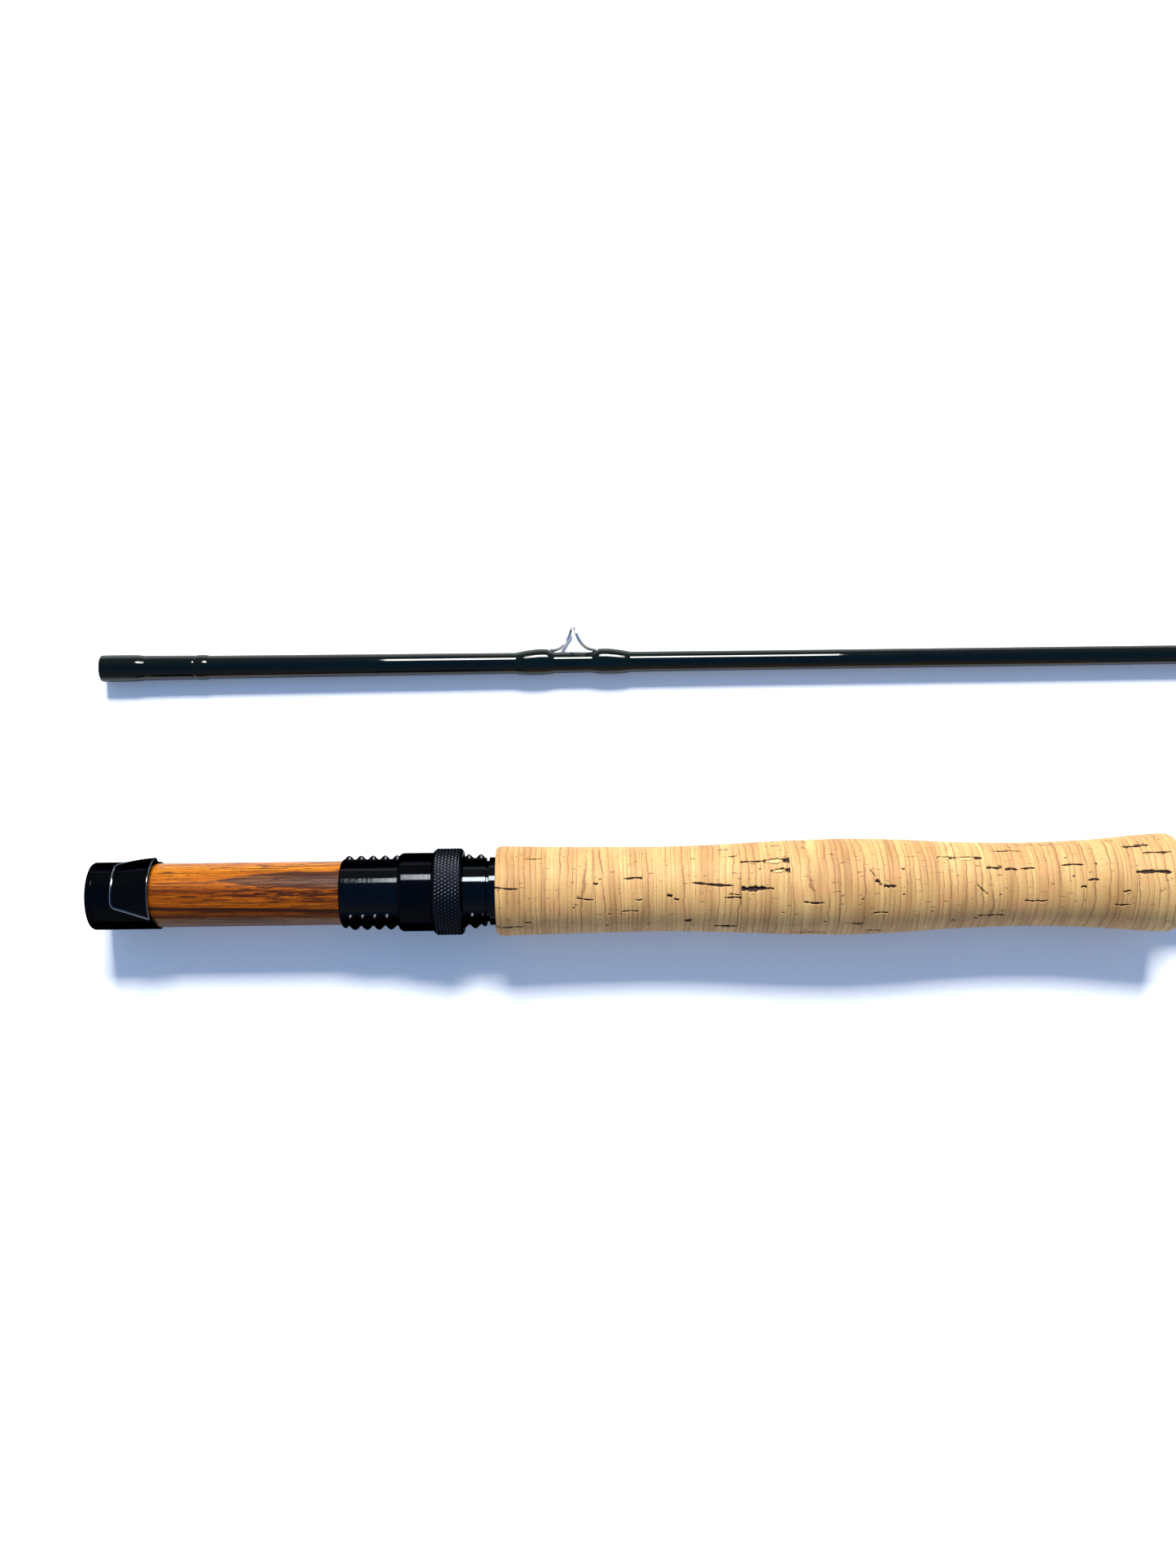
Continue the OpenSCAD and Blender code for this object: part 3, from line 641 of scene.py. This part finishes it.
def sliding_hood():
    a = angles(240)[None]
    z0, z1 = HOOD_OPEN_Z, HOOD_OPEN_Z + SLIDE_LENGTH
    r = SLIDE_R
    outside = rounded([(r - 0.42, z0), (r - 0.36, z0 + 0.18), (r - 0.1, z0 + 0.5), (r, z0 + 0.9), (r, z1),
                       (r - 0.3, z1)], 0.14, closed=False)
    rows = [polar(radius, a, station) for radius, station in outside]
    # Two keys in the bore run on the barrel's land, one at each of its edges
    off = np.abs(from_guides(a))
    key = smoothstep(off, LAND_HALF - 8.4, LAND_HALF - 7.8) * smoothstep(off, LAND_HALF - 1.8, LAND_HALF - 2.4)
    bore = CREST_R + 0.1
    for station, size in ((z1, 0), (z1 - 0.28, 0), (z1 - 0.32, 1), (z0 + 0.32, 1), (z0 + 0.28, 0), (z0, 0)):
        rows.append(polar(bore - (bore - INSERT_R - 0.1) * key * size, a, station))
    add("sliding_hood", [grid(np.concatenate(rows))], "sliding_hood", "black_anodised")


def lock_ring():
    count = 768
    a = angles(count)[None]
    z0, z1 = LOCK_START, LOCK_END
    z = np.concatenate([[z0, z0 + 0.06], np.arange(z0 + 0.15, z1 - 0.1, 0.13), [z1 - 0.05, z1]])[:, None]
    body = LOCK_R - 0.75 * np.clip(1 - (z - z0) / 0.8, 0, 1) - 0.6 * np.clip(1 - (z1 - z) / 0.65, 0, 1)
    # Knurl: two crossing sets of grooves, so many round the ring, that slant by so many a millimetre
    around, slope, depth = 72, 0.575, 0.3
    turns = around * a / TURN

    def from_groove(u):
        return 2 * np.abs(u - np.round(u))

    cut = 1 - np.minimum(from_groove(turns + slope * z), 0.35 + 0.65 * from_groove(turns - slope * z))
    near_edge = smoothstep(np.minimum(z - z0, z1 - z), 0.25, 0.75)
    outer = body - depth * cut * near_edge
    zi = np.linspace(z1, z0, 26)[:, None]
    inner = thread_r(a, zi, 0.2, faded=False)
    mouth = np.clip(1 - np.minimum(zi - z0, z1 - zi) / 0.6, 0, 1)
    inner = inner + (CREST_R + 0.25 - inner) * mouth
    # crest: how near the knurl's crests a point is, with the chamfers part way; the material paints these
    # places lighter, part wear and part painted highlight
    crest = np.concatenate([(1 - cut) * near_edge + (1 - near_edge) * 0.4, np.zeros((len(zi), count))])
    points = np.concatenate([polar(outer, a, z), polar(inner, a, zi)])
    add("lock_ring", [grid(points)], "lock_ring", "black_knurled", sharp=60, crest=crest)


# ---- Cork grip ----

# Degrees that the camera's side view adds to the angles below, which are as they look from the camera
LEAN = 6.5
# Cracks that show on the upper side: ring, where it starts and ends as a share of the ring's thickness,
# angle from straight up towards the tip section, width, how much it slants, and whether it is hollow
CRACKS = [
    (1, 0.00, 0.48, 0, 0.40, -2, 0), (1, 0.60, 0.95, 42, 0.30, 0, 0), (1, 0.00, 0.56, -56, 0.45, 0, 0),
    (1, 0.60, 0.73, -48, 0.40, 0, 0), (2, 0.65, 1.00, -15, 0.35, -2, 0), (3, 0.00, 0.10, 5, 0.50, 0, 0),
    (3, 0.62, 1.00, 12, 0.45, 0, 0), (3, 0.86, 1.00, -17, 0.35, 0, 0), (3, 0.54, 0.92, -33, 0.35, 0, 0),
    (4, 0.50, 0.60, -12, 0.80, 0, 0), (4, 0.64, 0.74, -17, 0.60, 0, 0), (4, 0.86, 1.00, -50, 0.90, 0, 0),
    (5, 0.56, 0.79, 57, 0.35, 0, 0), (5, 0.76, 0.95, 42, 0.35, 0, 0), (5, 0.03, 0.84, 2, 0.60, -4, 0),
    (5, 0.65, 1.00, -15, 0.42, -1, 0), (5, 0.74, 0.99, -11, 0.25, 0, 0), (5, 0.47, 0.95, -61, 0.75, 0, 0),
    (6, 0.00, 0.50, -4, 1.25, 0, 0), (6, 0.50, 0.66, -4, 0.40, 0, 0), (6, 0.00, 0.50, 32, 0.45, 1, 0),
    (6, 0.46, 1.00, 32, 1.50, 0, 1), (6, 0.60, 1.00, 18, 1.00, 0, 1), (6, 0.64, 0.84, 60, 0.35, 0, 0),
    (7, 0.25, 0.68, -22, 0.50, -1, 0), (7, 0.10, 0.80, -74, 0.60, 0, 0), (8, 0.25, 0.50, -52, 0.45, 0, 0),
    (8, 0.58, 0.83, 9, 0.35, -22, 0), (8, 0.70, 0.80, 3, 0.60, 0, 0), (8, 0.87, 1.00, -3, 0.60, 0, 0),
    (8, 0.65, 0.98, -36, 0.40, 0, 0), (8, 0.58, 0.92, -69, 0.45, 0, 0), (9, 0.00, 0.12, -3, 0.55, 0, 0),
    (10, 0.02, 0.34, 35, 0.90, 0, 1), (10, 0.34, 0.94, 35, 1.00, 0, 1), (10, 0.78, 1.00, -9, 0.40, -14, 0),
    (10, 0.83, 1.00, -48, 0.45, 0, 0), (11, 0.00, 0.40, -48, 0.45, 0, 0), (11, 0.00, 0.30, 20, 0.50, 0, 0),
    (11, 0.36, 0.62, 18, 0.55, 0, 0), (11, 0.70, 0.98, 19, 0.45, 0, 0), (11, 0.16, 0.77, 49, 0.40, 0, 0),
    (11, 0.76, 1.00, -26, 0.40, 0, 0), (11, 0.70, 1.00, 65, 0.40, 0, 0), (12, 0.00, 0.24, -26, 0.40, 0, 0),
    (12, 0.00, 0.75, 65, 0.40, 0, 0), (12, 0.52, 0.98, 23, 0.40, 0, 0), (12, 0.88, 1.00, -7, 0.50, 0, 0),
    (13, 0.03, 0.25, 2, 0.50, 0, 0), (13, 0.72, 0.88, -13, 0.40, 0, 0), (13, 0.58, 0.88, -31, 0.45, 0, 0),
    (13, 0.85, 1.00, 48, 0.80, 0, 0), (13, 0.55, 0.75, 65, 0.40, 0, 0), (14, 0.00, 0.37, 48, 0.80, 0, 0),
    (14, 0.00, 0.69, 10, 0.85, -2, 0), (14, 0.20, 0.78, 35, 0.45, 0, 0),
]


def grip_r(share):
    """The grip's outline, rounded off over a short distance to each side."""
    offsets = np.linspace(-0.04, 0.04, 9)
    weights = 1 - np.abs(offsets) / 0.05
    samples = [w * lookup(np.clip(share + d, 0, 1), GRIP_OUTLINE) for d, w in zip(offsets, weights)]
    return sum(samples) / weights.sum()


def cracks_of(ring, rng):
    """The ring's own cracks, others on its lower side, and a few small pits all round."""
    found = [(start, end, angle + LEAN, *rest) for owner, start, end, angle, *rest in CRACKS if owner == ring]
    for _ in range(rng.integers(4, 8)):
        start = rng.choice([0.0, rng.uniform(0.05, 0.6)])
        end = min(1.0, start + rng.uniform(0.12, 0.75))
        width = rng.choice([0.35, 0.45, 0.6, 1.0], p=[0.4, 0.3, 0.2, 0.1])
        angle, slant = rng.uniform(85, 275), rng.uniform(-4, 4)
        found.append((start, end, angle, width, slant, float(rng.random() < 0.12)))
    for _ in range(rng.integers(3, 7)):
        start = rng.uniform(0.03, 0.9)
        end = start + rng.uniform(0.03, 0.09)
        found.append((start, end, rng.uniform(-180, 180), rng.uniform(0.25, 0.4), 0, 0))
    return found


def thinned(values, least):
    """Sorted values without any that are closer than least to the one before."""
    kept = []
    for value in np.sort(values):
        if not kept or value - kept[-1] >= least:
            kept.append(value)
    kept[-1] = max(values)
    return np.array(kept)


def cork_ring(i, rng):
    """One ring, with more rows and columns of points where its cracks are."""
    z0 = GRIP_Z + RING_T * i + (0.01 if i else 0)
    z1 = GRIP_Z + RING_T * (i + 1) - 0.01
    mean_r = float(grip_r((i + 0.5) / CORK_RINGS))
    cracks = cracks_of(i + 1, rng)
    levels = [*np.linspace(0, 1, 38), 0.006, 0.014, 0.986, 0.994]
    around = list(np.arange(0, 360, 1.6))
    for start, end, angle, width, slant, hollow in cracks:
        levels += [start, start + 0.012, end - 0.012, end]
        reach = (0.7 * width / mean_r) / DEG + abs(slant) / 2 + 0.4
        around += list(angle + np.linspace(-reach, reach, 11))
    share = thinned(np.clip(levels, 0, 1), 0.003)[:, None]
    world_angle = thinned(np.array(around) % 360, 0.16)[::-1][None]
    a = (SEAT_TURN - world_angle) * DEG
    z = z0 + (z1 - z0) * share
    r = grip_r((z - GRIP_Z) / (RING_T * CORK_RINGS)) + 0 * a
    # Inside the CAD's grip, each ring turned a hair differently and not quite round
    r = r - CORK_INSET + 0.025 * rng.uniform(-1, 1)
    r = r + 0.02 * np.sin(3 * a + rng.uniform(0, 6)) * np.sin(0.9 * z)
    crack, hollow_part = np.zeros_like(r), np.zeros_like(r)
    for start, end, angle, width, slant, hollow in cracks:
        phase = rng.uniform(0, 6)
        t = (share - start) / (end - start)
        inside = (t >= 0) & (t <= 1)
        t = np.clip(t, 0, 1)
        # A crack that runs out of the ring stays wide there
        near = 1.0 if start > 0 else 9.0
        far = 1.0 if end < 1 else 9.0
        taper = np.clip(np.minimum(t * 7 * near + 0.1, (1 - t) * 7 * far + 0.1), 0, 1) ** 0.6
        half = 0.6 * width * taper * (1 + 0.28 * np.sin(11 * t + phase) + 0.2 * np.sin(27 * t + 2 * phase))
        centre = angle + slant * (t - 0.5) + 0.5 * np.sin(6 * t + phase)
        gap = np.abs((world_angle - centre + 180) % 360 - 180) * DEG * mean_r
        mask = np.clip(1.6 * (1 - gap / np.maximum(half, 0.02)), 0, 1) * inside
        crack = np.maximum(crack, mask)
        if hollow:
            core = np.clip(3 * (0.66 - gap / np.maximum(half, 0.02)), 0, 1) * inside
            core = core * smoothstep(t, 0.06, 0.14) * smoothstep(t, 0.8, 0.7)
            hollow_part = np.maximum(hollow_part, core)
            mask = mask - 0.8 * core
        r = r - (0.25 + 0.4 * width) * mask
    from_joint = np.minimum(z - z0, z1 - z)
    r = r - 0.05 * np.exp(-(from_joint / 0.12) ** 2)
    joint_line = 0.36 * np.exp(-(from_joint / 0.11) ** 2) * (0.62 + 0.38 * np.sin(2 * a + i))
    crack = np.maximum(crack, joint_line)
    from_end = np.minimum(z - GRIP_Z, GRIP_END - z)
    r = r - 0.5 * np.clip(1 - from_end / 1.5, 0, 1) ** 2
    bore = [polar(lookup(q, BUTT_TAPER) + GLUE, a, q) for q in (z1, z0)]
    points = np.concatenate([polar(r, a, z), *bore])
    flat = np.zeros((2, a.size))
    add(f"cork_ring_{i + 1}", [grid(points)], "butt_section", "cork", sharp=70,
        crack=np.concatenate([crack, flat]), hollow=np.concatenate([hollow_part, flat]))


def grip():
    rng = np.random.default_rng(11)
    for i in range(CORK_RINGS):
        cork_ring(i, rng)
    z = GRIP_END + 0.02
    bore = lookup(z, BUTT_TAPER) + GLUE
    profile = [(6.4, z), (6.4, z + 0.8), (6.05, z + 1.15), (5.6, z + 2), (bore, z + 2), (bore, z)]
    add("winding_check", [lathe(rounded(profile, 0.15))], "butt_section", "black_anodised")


# ---- Blanks and wraps ----

def stations(start, end, step, extra=()):
    return np.unique(np.concatenate([np.arange(start, end, step), [end], list(extra)]))


def blanks():
    wall, step = 0.75, 12
    z = stations(SEAT_START, LENGTH - 0.3, step, [p[0] for p in BUTT_TAPER[1:-1]])
    outside = [(lookup(s, BUTT_TAPER), s) for s in z]
    outside += [(FERRULE_R - 0.12, LENGTH - 0.1), (FERRULE_R - 0.3, LENGTH)]
    inside = [(FERRULE_R - wall, LENGTH)] + [(lookup(s, BUTT_TAPER) - wall, s) for s in z[::-1]]
    add("butt_blank", [lathe(outside + inside, 64)], "butt_section", "green_blank")
    plug = [(FERRULE_R - 0.8, LENGTH - 8), (FERRULE_R - 0.8, LENGTH), (FERRULE_R - 0.95, LENGTH + 0.28),
            (FERRULE_R - 1.4, LENGTH + 0.4)]
    add("ferrule_plug", [lathe(plug, 48, closed=False)], "butt_section", "black_plug")

    wall, hollow_end = 0.7, 900
    z = stations(0.25, LENGTH - 0.2, step, [p[0] for p in TIP_TAPER[1:-1]])
    socket, socket_end = FERRULE_R + 0.05, FERRULE + 4
    inside = [(wall, hollow_end)] + [(lookup(s, TIP_TAPER) - wall, s) for s in (170, 110, 60)]
    inside += [(socket, socket_end), (socket, 0.2)]
    mouth = [(socket + 0.15, 0), (lookup(0, TIP_TAPER) - 0.12, 0)]
    outside = [(lookup(s, TIP_TAPER), s) for s in z] + [(0.8, LENGTH)]
    add("tip_blank", [lathe(inside + mouth + outside, 64, closed=False)], "tip_section", "green_blank")


def wrap_shell(z0, z1, taper, rise, foot=0.0, inner_side=1, cols=72):
    """Coated thread wrap, with a ridge over a guide's foot that is highest towards the guide."""
    t = np.linspace(0, 1, max(16, round((z1 - z0) / 0.3)))[:, None]
    t = 0.5 - 0.5 * np.cos(math.pi * t) * (1 - 0.35 * np.sin(math.pi * t))
    a = angles(cols)[None]
    z = z0 + (z1 - z0) * t
    base = lookup(z, taper)
    swell = 1 - np.abs(2 * t - 1) ** 3
    r = base + 0.04 + (rise + 0.04) * swell + 0 * a
    if foot:
        from_outer = t if inner_side > 0 else 1 - t
        ridge = smoothstep(from_outer, 0.0, 0.7) * smoothstep(from_outer, 1.0, 0.8)
        r = r + 0.45 * foot * np.maximum(np.cos(a), 0) ** 2 * ridge
    points = np.concatenate([polar(r, a, z), polar(base[::-1] + 0.01, a, z[::-1])])
    return grid(points)


def guide_wraps(z, taper, size):
    """The pair of wraps over the two feet of a snake guide."""
    for side in (-1, 1):
        ends = sorted((z + side * 5.1 * size, z + side * 15.4 * size))
        yield wrap_shell(*ends, taper, 0.34, 1.25 * size, -side)


def wraps():
    body = "butt_section"
    front = wrap_shell(GRIP_END + 2.1, KEEPER_Z - 1.4, BUTT_TAPER, 0.34, 1.1)
    add("front_wrap", [front], body, "green_wrap")
    near, far = 7.6, 18.2
    strip = [wrap_shell(STRIP_Z - far, STRIP_Z - near, BUTT_TAPER, 0.36, 1.5, 1),
             wrap_shell(STRIP_Z + near, STRIP_Z + far, BUTT_TAPER, 0.36, 1.5, -1)]
    add("stripping_guide_wraps", strip, body, "green_wrap")
    add("butt_snake_wraps", list(guide_wraps(BUTT_SNAKE_Z, BUTT_TAPER, 1)), body, "green_wrap")

    body = "tip_section"
    for i, (z, size) in enumerate(zip(SNAKE_Z, SNAKE_SCALE), 1):
        add(f"snake_wraps_{i}", list(guide_wraps(z, TIP_TAPER, size)), body, "green_wrap")
    add("tip_top_wrap", [wrap_shell(LENGTH - 15, LENGTH - 8.1, TIP_TAPER, 0.32)], body, "green_wrap")
    z = np.linspace(0, SOCKET_WRAP_END, 44)
    t = z / SOCKET_WRAP_END
    outside = 3.58 + 0.1 * (1 - np.abs(2 * np.minimum(1, t + 0.12) - 1) ** 3) - 0.25 * smoothstep(t, 0.8, 1.05)
    outside = outside - 0.12 * np.clip(1 - z / 0.3, 0, 1) ** 2
    profile = list(zip(outside, z)) + [(lookup(s, TIP_TAPER) + GLUE, s) for s in (SOCKET_WRAP_END, 0)]
    add("ferrule_wrap", [lathe(profile, 72)], body, "dark_wrap")
    z = np.linspace(COAT_START, COAT_END, 34)
    from_end = np.minimum(z - COAT_START, COAT_END - z)
    outside = 3.42 - 0.12 * (z - COAT_START) / (COAT_END - COAT_START)
    outside = outside - 0.05 * np.clip(1 - from_end / 0.4, 0, 1) ** 2
    profile = list(zip(outside, z)) + [(lookup(s, TIP_TAPER) + 0.01, s) for s in (COAT_END, COAT_START)]
    add("label_coat", [lathe(profile, 72)], body, "clear_coat")
    add("ferrule_trim_wrap", [wrap_shell(TRIM_START, TRIM_END, TIP_TAPER, 0.14)], body, "dark_wrap")


# ---- Guides ----

def snake_wire(z, taper, size):
    """Bent wire with two flat feet, standing on the blank."""
    blank_r = float(lookup(z - 14 * size, taper))
    wire = 0.5 * (0.4 + 0.6 * size)
    half, rise, wide, foot = 6 * size, 6.6 * size, 3.2 * size, 7.2 * size
    base = blank_r + wire + GLUE
    a = np.linspace(0, 360, 91)
    s = (a - 180) / 180
    loop = np.stack([base + rise * (1 - np.cos(a * DEG)) / 2, -wide * np.sin(a * DEG),
                     half * (0.25 * s + 0.75 * s ** 3)], -1)
    # The feet, from the tip of one to the loop: flatter and wider towards the tip
    shares = np.array([1, 0.85, 0.7, 0.55, 0.4, 0.28, 0.18, 0.1])
    thin, broad = wire * (1 - 0.7 * shares), wire * (1 + 0.35 * shares)
    first = np.stack([blank_r + GLUE + thin, 0 * shares, -half - foot * shares], -1)
    last = first[::-1] * [1, 1, -1]
    path = np.concatenate([first, loop, last])
    up = np.concatenate([thin, np.full(len(a), wire), thin[::-1]])
    across = np.concatenate([broad, np.full(len(a), wire), broad[::-1]])
    path[:, 2] += z
    return sweep(path, across, up, 16)


def snake_guides():
    add("butt_snake_guide", [snake_wire(BUTT_SNAKE_Z, BUTT_TAPER, 1)], "butt_section", "bright_wire")
    for i, (z, size) in enumerate(zip(SNAKE_Z, SNAKE_SCALE), 1):
        add(f"snake_guide_{i}", [snake_wire(z, TIP_TAPER, size)], "tip_section", "bright_wire")


def stripping_guide():
    """Ceramic ring in a band on three legs: two on the grip's side of it, and one towards the tip."""
    ring = STRIP_RING_R + 1.2
    base = float(lookup(STRIP_Z - 16, BUTT_TAPER)) + 0.58
    band = rounded([(ring + 0.85, STRIP_Z - 0.85), (ring + 0.85, STRIP_Z + 0.85), (ring, STRIP_Z + 0.85),
                    (ring, STRIP_Z - 0.85)], 0.3)
    parts = [lathe(band, 96, centre=STRIP_H)]
    for side in (-1, 1):
        leg = curve([(STRIP_H - 3.4, side * (ring - 0.1), STRIP_Z),
                     (STRIP_H - 7, side * (ring - 1.6), STRIP_Z - 3.5),
                     (base + 1.4, side * 0.5, STRIP_Z - 7.5), (base, side * 0.42, STRIP_Z - 10)])
        parts.append(sweep(leg, 0.48, 0.48))
    leg = curve([(STRIP_H - ring - 0.4, 0, STRIP_Z), (STRIP_H - ring - 2.6, 0, STRIP_Z + 4),
                 (base + 1.2, 0, STRIP_Z + 7.5), (base, 0, STRIP_Z + 10)])
    parts.append(sweep(leg, 0.58, 0.52))
    for side in (-1, 1):
        foot = [(base - 0.12 - 0.2 * s, 0, STRIP_Z + side * (8 + 9 * s)) for s in np.linspace(0, 1, 12)]
        parts.append(sweep(foot, np.linspace(1.0, 0.7, 12), np.linspace(0.42, 0.16, 12)))
    add("stripping_guide_frame", parts, "butt_section", "bright_wire")
    outer, middle = ring - 0.02, (STRIP_RING_R + ring) / 2
    points = [(outer, -1), (outer, 1), (middle, 1.4), (STRIP_RING_R + 0.15, 1.1), (STRIP_RING_R, 0.5),
              (STRIP_RING_R, -0.5), (STRIP_RING_R + 0.15, -1.1), (middle, -1.4)]
    points = rounded([(r, STRIP_Z + z) for r, z in points], 0.3)
    add("stripping_guide_ring", [lathe(points, 96, centre=STRIP_H)], "butt_section", "guide_ceramic")


def tip_top():
    """Loop brazed on a tube, with a brace on each side."""
    end = LENGTH
    tube = rounded([(1.45, end - 8), (1.45, end + 1), (1.03, end + 1), (1.03, end - 8)], 0.12)
    parts = [lathe(tube, 48), sweep(hoop((4.1, 0, end + 0.4), 3, 12), 0.4, 0.4, closed=True)]
    for side in (-1, 1):
        brace = curve([(3.1, side * 2.85, end + 0.3), (2.2, side * 2.3, end - 1.6),
                       (1.3, side * 0.7, end - 4), (1.2, side * 0.6, end - 6)])
        parts.append(sweep(brace, 0.34, 0.34))
    add("tip_top", parts, "tip_section", "bright_wire")


def hook_keeper():
    """A foot with an eye across the rod, and the ring that folds in it."""
    surface = float(lookup(KEEPER_Z - 12, BUTT_TAPER)) + GLUE
    eye = surface + 1.15
    foot = [(surface + 0.25 + 0.1 * s, 0, KEEPER_Z - 10 + 9.6 * s) for s in np.linspace(0, 1, 14)]
    parts = [sweep(foot, np.linspace(0.55, 0.78, 14), np.linspace(0.12, 0.3, 14))]
    barrel = np.array(rounded([(1.1, -0.8), (1.1, 0.8), (0.6, 0.8), (0.6, -0.8)], 0.15))
    turned = polar(barrel[:, :1], angles(48)[None], barrel[:, 1:])
    turned = turned[..., [1, 2, 0]] + np.array([eye, 0, KEEPER_Z])
    parts.append(grid(turned))
    add("hook_keeper", parts, "butt_section", "bright_wire")
    wire, radius = 0.4, 2.6
    circle = hoop((eye, 0, KEEPER_Z + radius), radius, 90)
    add("keeper_ring", [sweep(circle, wire, wire, 18, closed=True)], "keeper_ring", "bright_wire")


def arbors():
    """The tape bushings keep the CAD's mesh."""
    for node in ("seat_arbor_rear", "seat_arbor_middle", "seat_arbor_front"):
        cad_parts[node].data.materials.clear()
        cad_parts[node].data.materials.append(MATERIAL["arbor_tape"])


# ---- Build ----

butt_cap()
fixed_hood()
wood_insert()
threaded_barrel()
sliding_hood()
lock_ring()
grip()
blanks()
wraps()
snake_guides()
stripping_guide()
tip_top()
hook_keeper()
arbors()


# ---- Floor, light and camera ----

def make_floor():
    mesh = bpy.data.meshes.new("floor")
    reach = 6.0
    corners = [(-reach, -reach), (reach, -reach), (reach, reach), (-reach, reach)]
    mesh.from_pydata([(x, y, cad_low.z) for x, y in corners], [], [(0, 1, 2, 3)])
    g = Graph("floor_white", Specular_IOR_Level=0.15)
    paper = g.noise(g.stretched((900, 900, 900)), 2)
    g.set("Base Color", g.mix(paper, (0.9, 0.9, 0.9), (0.93, 0.93, 0.93)))
    g.set("Roughness", g.clamp(paper, 0.3, 0.7, 0.7, 0.8))
    mesh.materials.append(g.material)
    floor = bpy.data.objects.new("floor", mesh)
    bpy.context.scene.collection.objects.link(floor)


def make_light():
    """A window beyond the tip section, and a room that is paler at the horizon than overhead."""
    window = bpy.data.lights.new("window", "AREA")
    window.shape = "RECTANGLE"
    window.size, window.size_y = 0.82, 0.66
    window.energy = 140.0
    window.color = (1.0, 0.985, 0.95)
    lamp = bpy.data.objects.new("window", window)
    aim = Vector((0.19, 0, 0))
    lamp.location = (0.19, 1.78, 1.61)
    lamp.rotation_euler = (aim - lamp.location).to_track_quat("-Z", "Y").to_euler()
    bpy.context.scene.collection.objects.link(lamp)

    world = bpy.data.worlds.new("studio")
    world.use_nodes = True
    bpy.context.scene.world = world
    nodes, links = world.node_tree.nodes, world.node_tree.links
    coords = nodes.new("ShaderNodeTexCoord")
    split = nodes.new("ShaderNodeSeparateXYZ")
    ramp = nodes.new("ShaderNodeValToRGB")
    horizon, zenith = ramp.color_ramp.elements
    horizon.position, horizon.color = 0.0, (0.62, 0.61, 0.57, 1)
    zenith.position, zenith.color = 1.0, (0.12, 0.35, 0.82, 1)
    ramp.color_ramp.elements.new(0.55).color = (0.46, 0.52, 0.63, 1)
    links.new(coords.outputs["Generated"], split.inputs[0])
    links.new(split.outputs[2], ramp.inputs[0])
    links.new(ramp.outputs[0], nodes["Background"].inputs[0])


def make_camera():
    cam = bpy.data.cameras.new("camera")
    cam.sensor_fit = "AUTO"
    cam.sensor_width = 36.0
    cam.lens = 34.67
    cam.clip_start = 0.01
    camera = bpy.data.objects.new("camera", cam)
    camera.location = (0.1312, 0.0280, 0.400)
    camera.rotation_euler = (0, 0, -0.75 * DEG)
    bpy.context.scene.collection.objects.link(camera)
    bpy.context.scene.camera = camera
    bpy.context.scene.view_settings.view_transform = "Standard"


make_floor()
make_light()
make_camera()
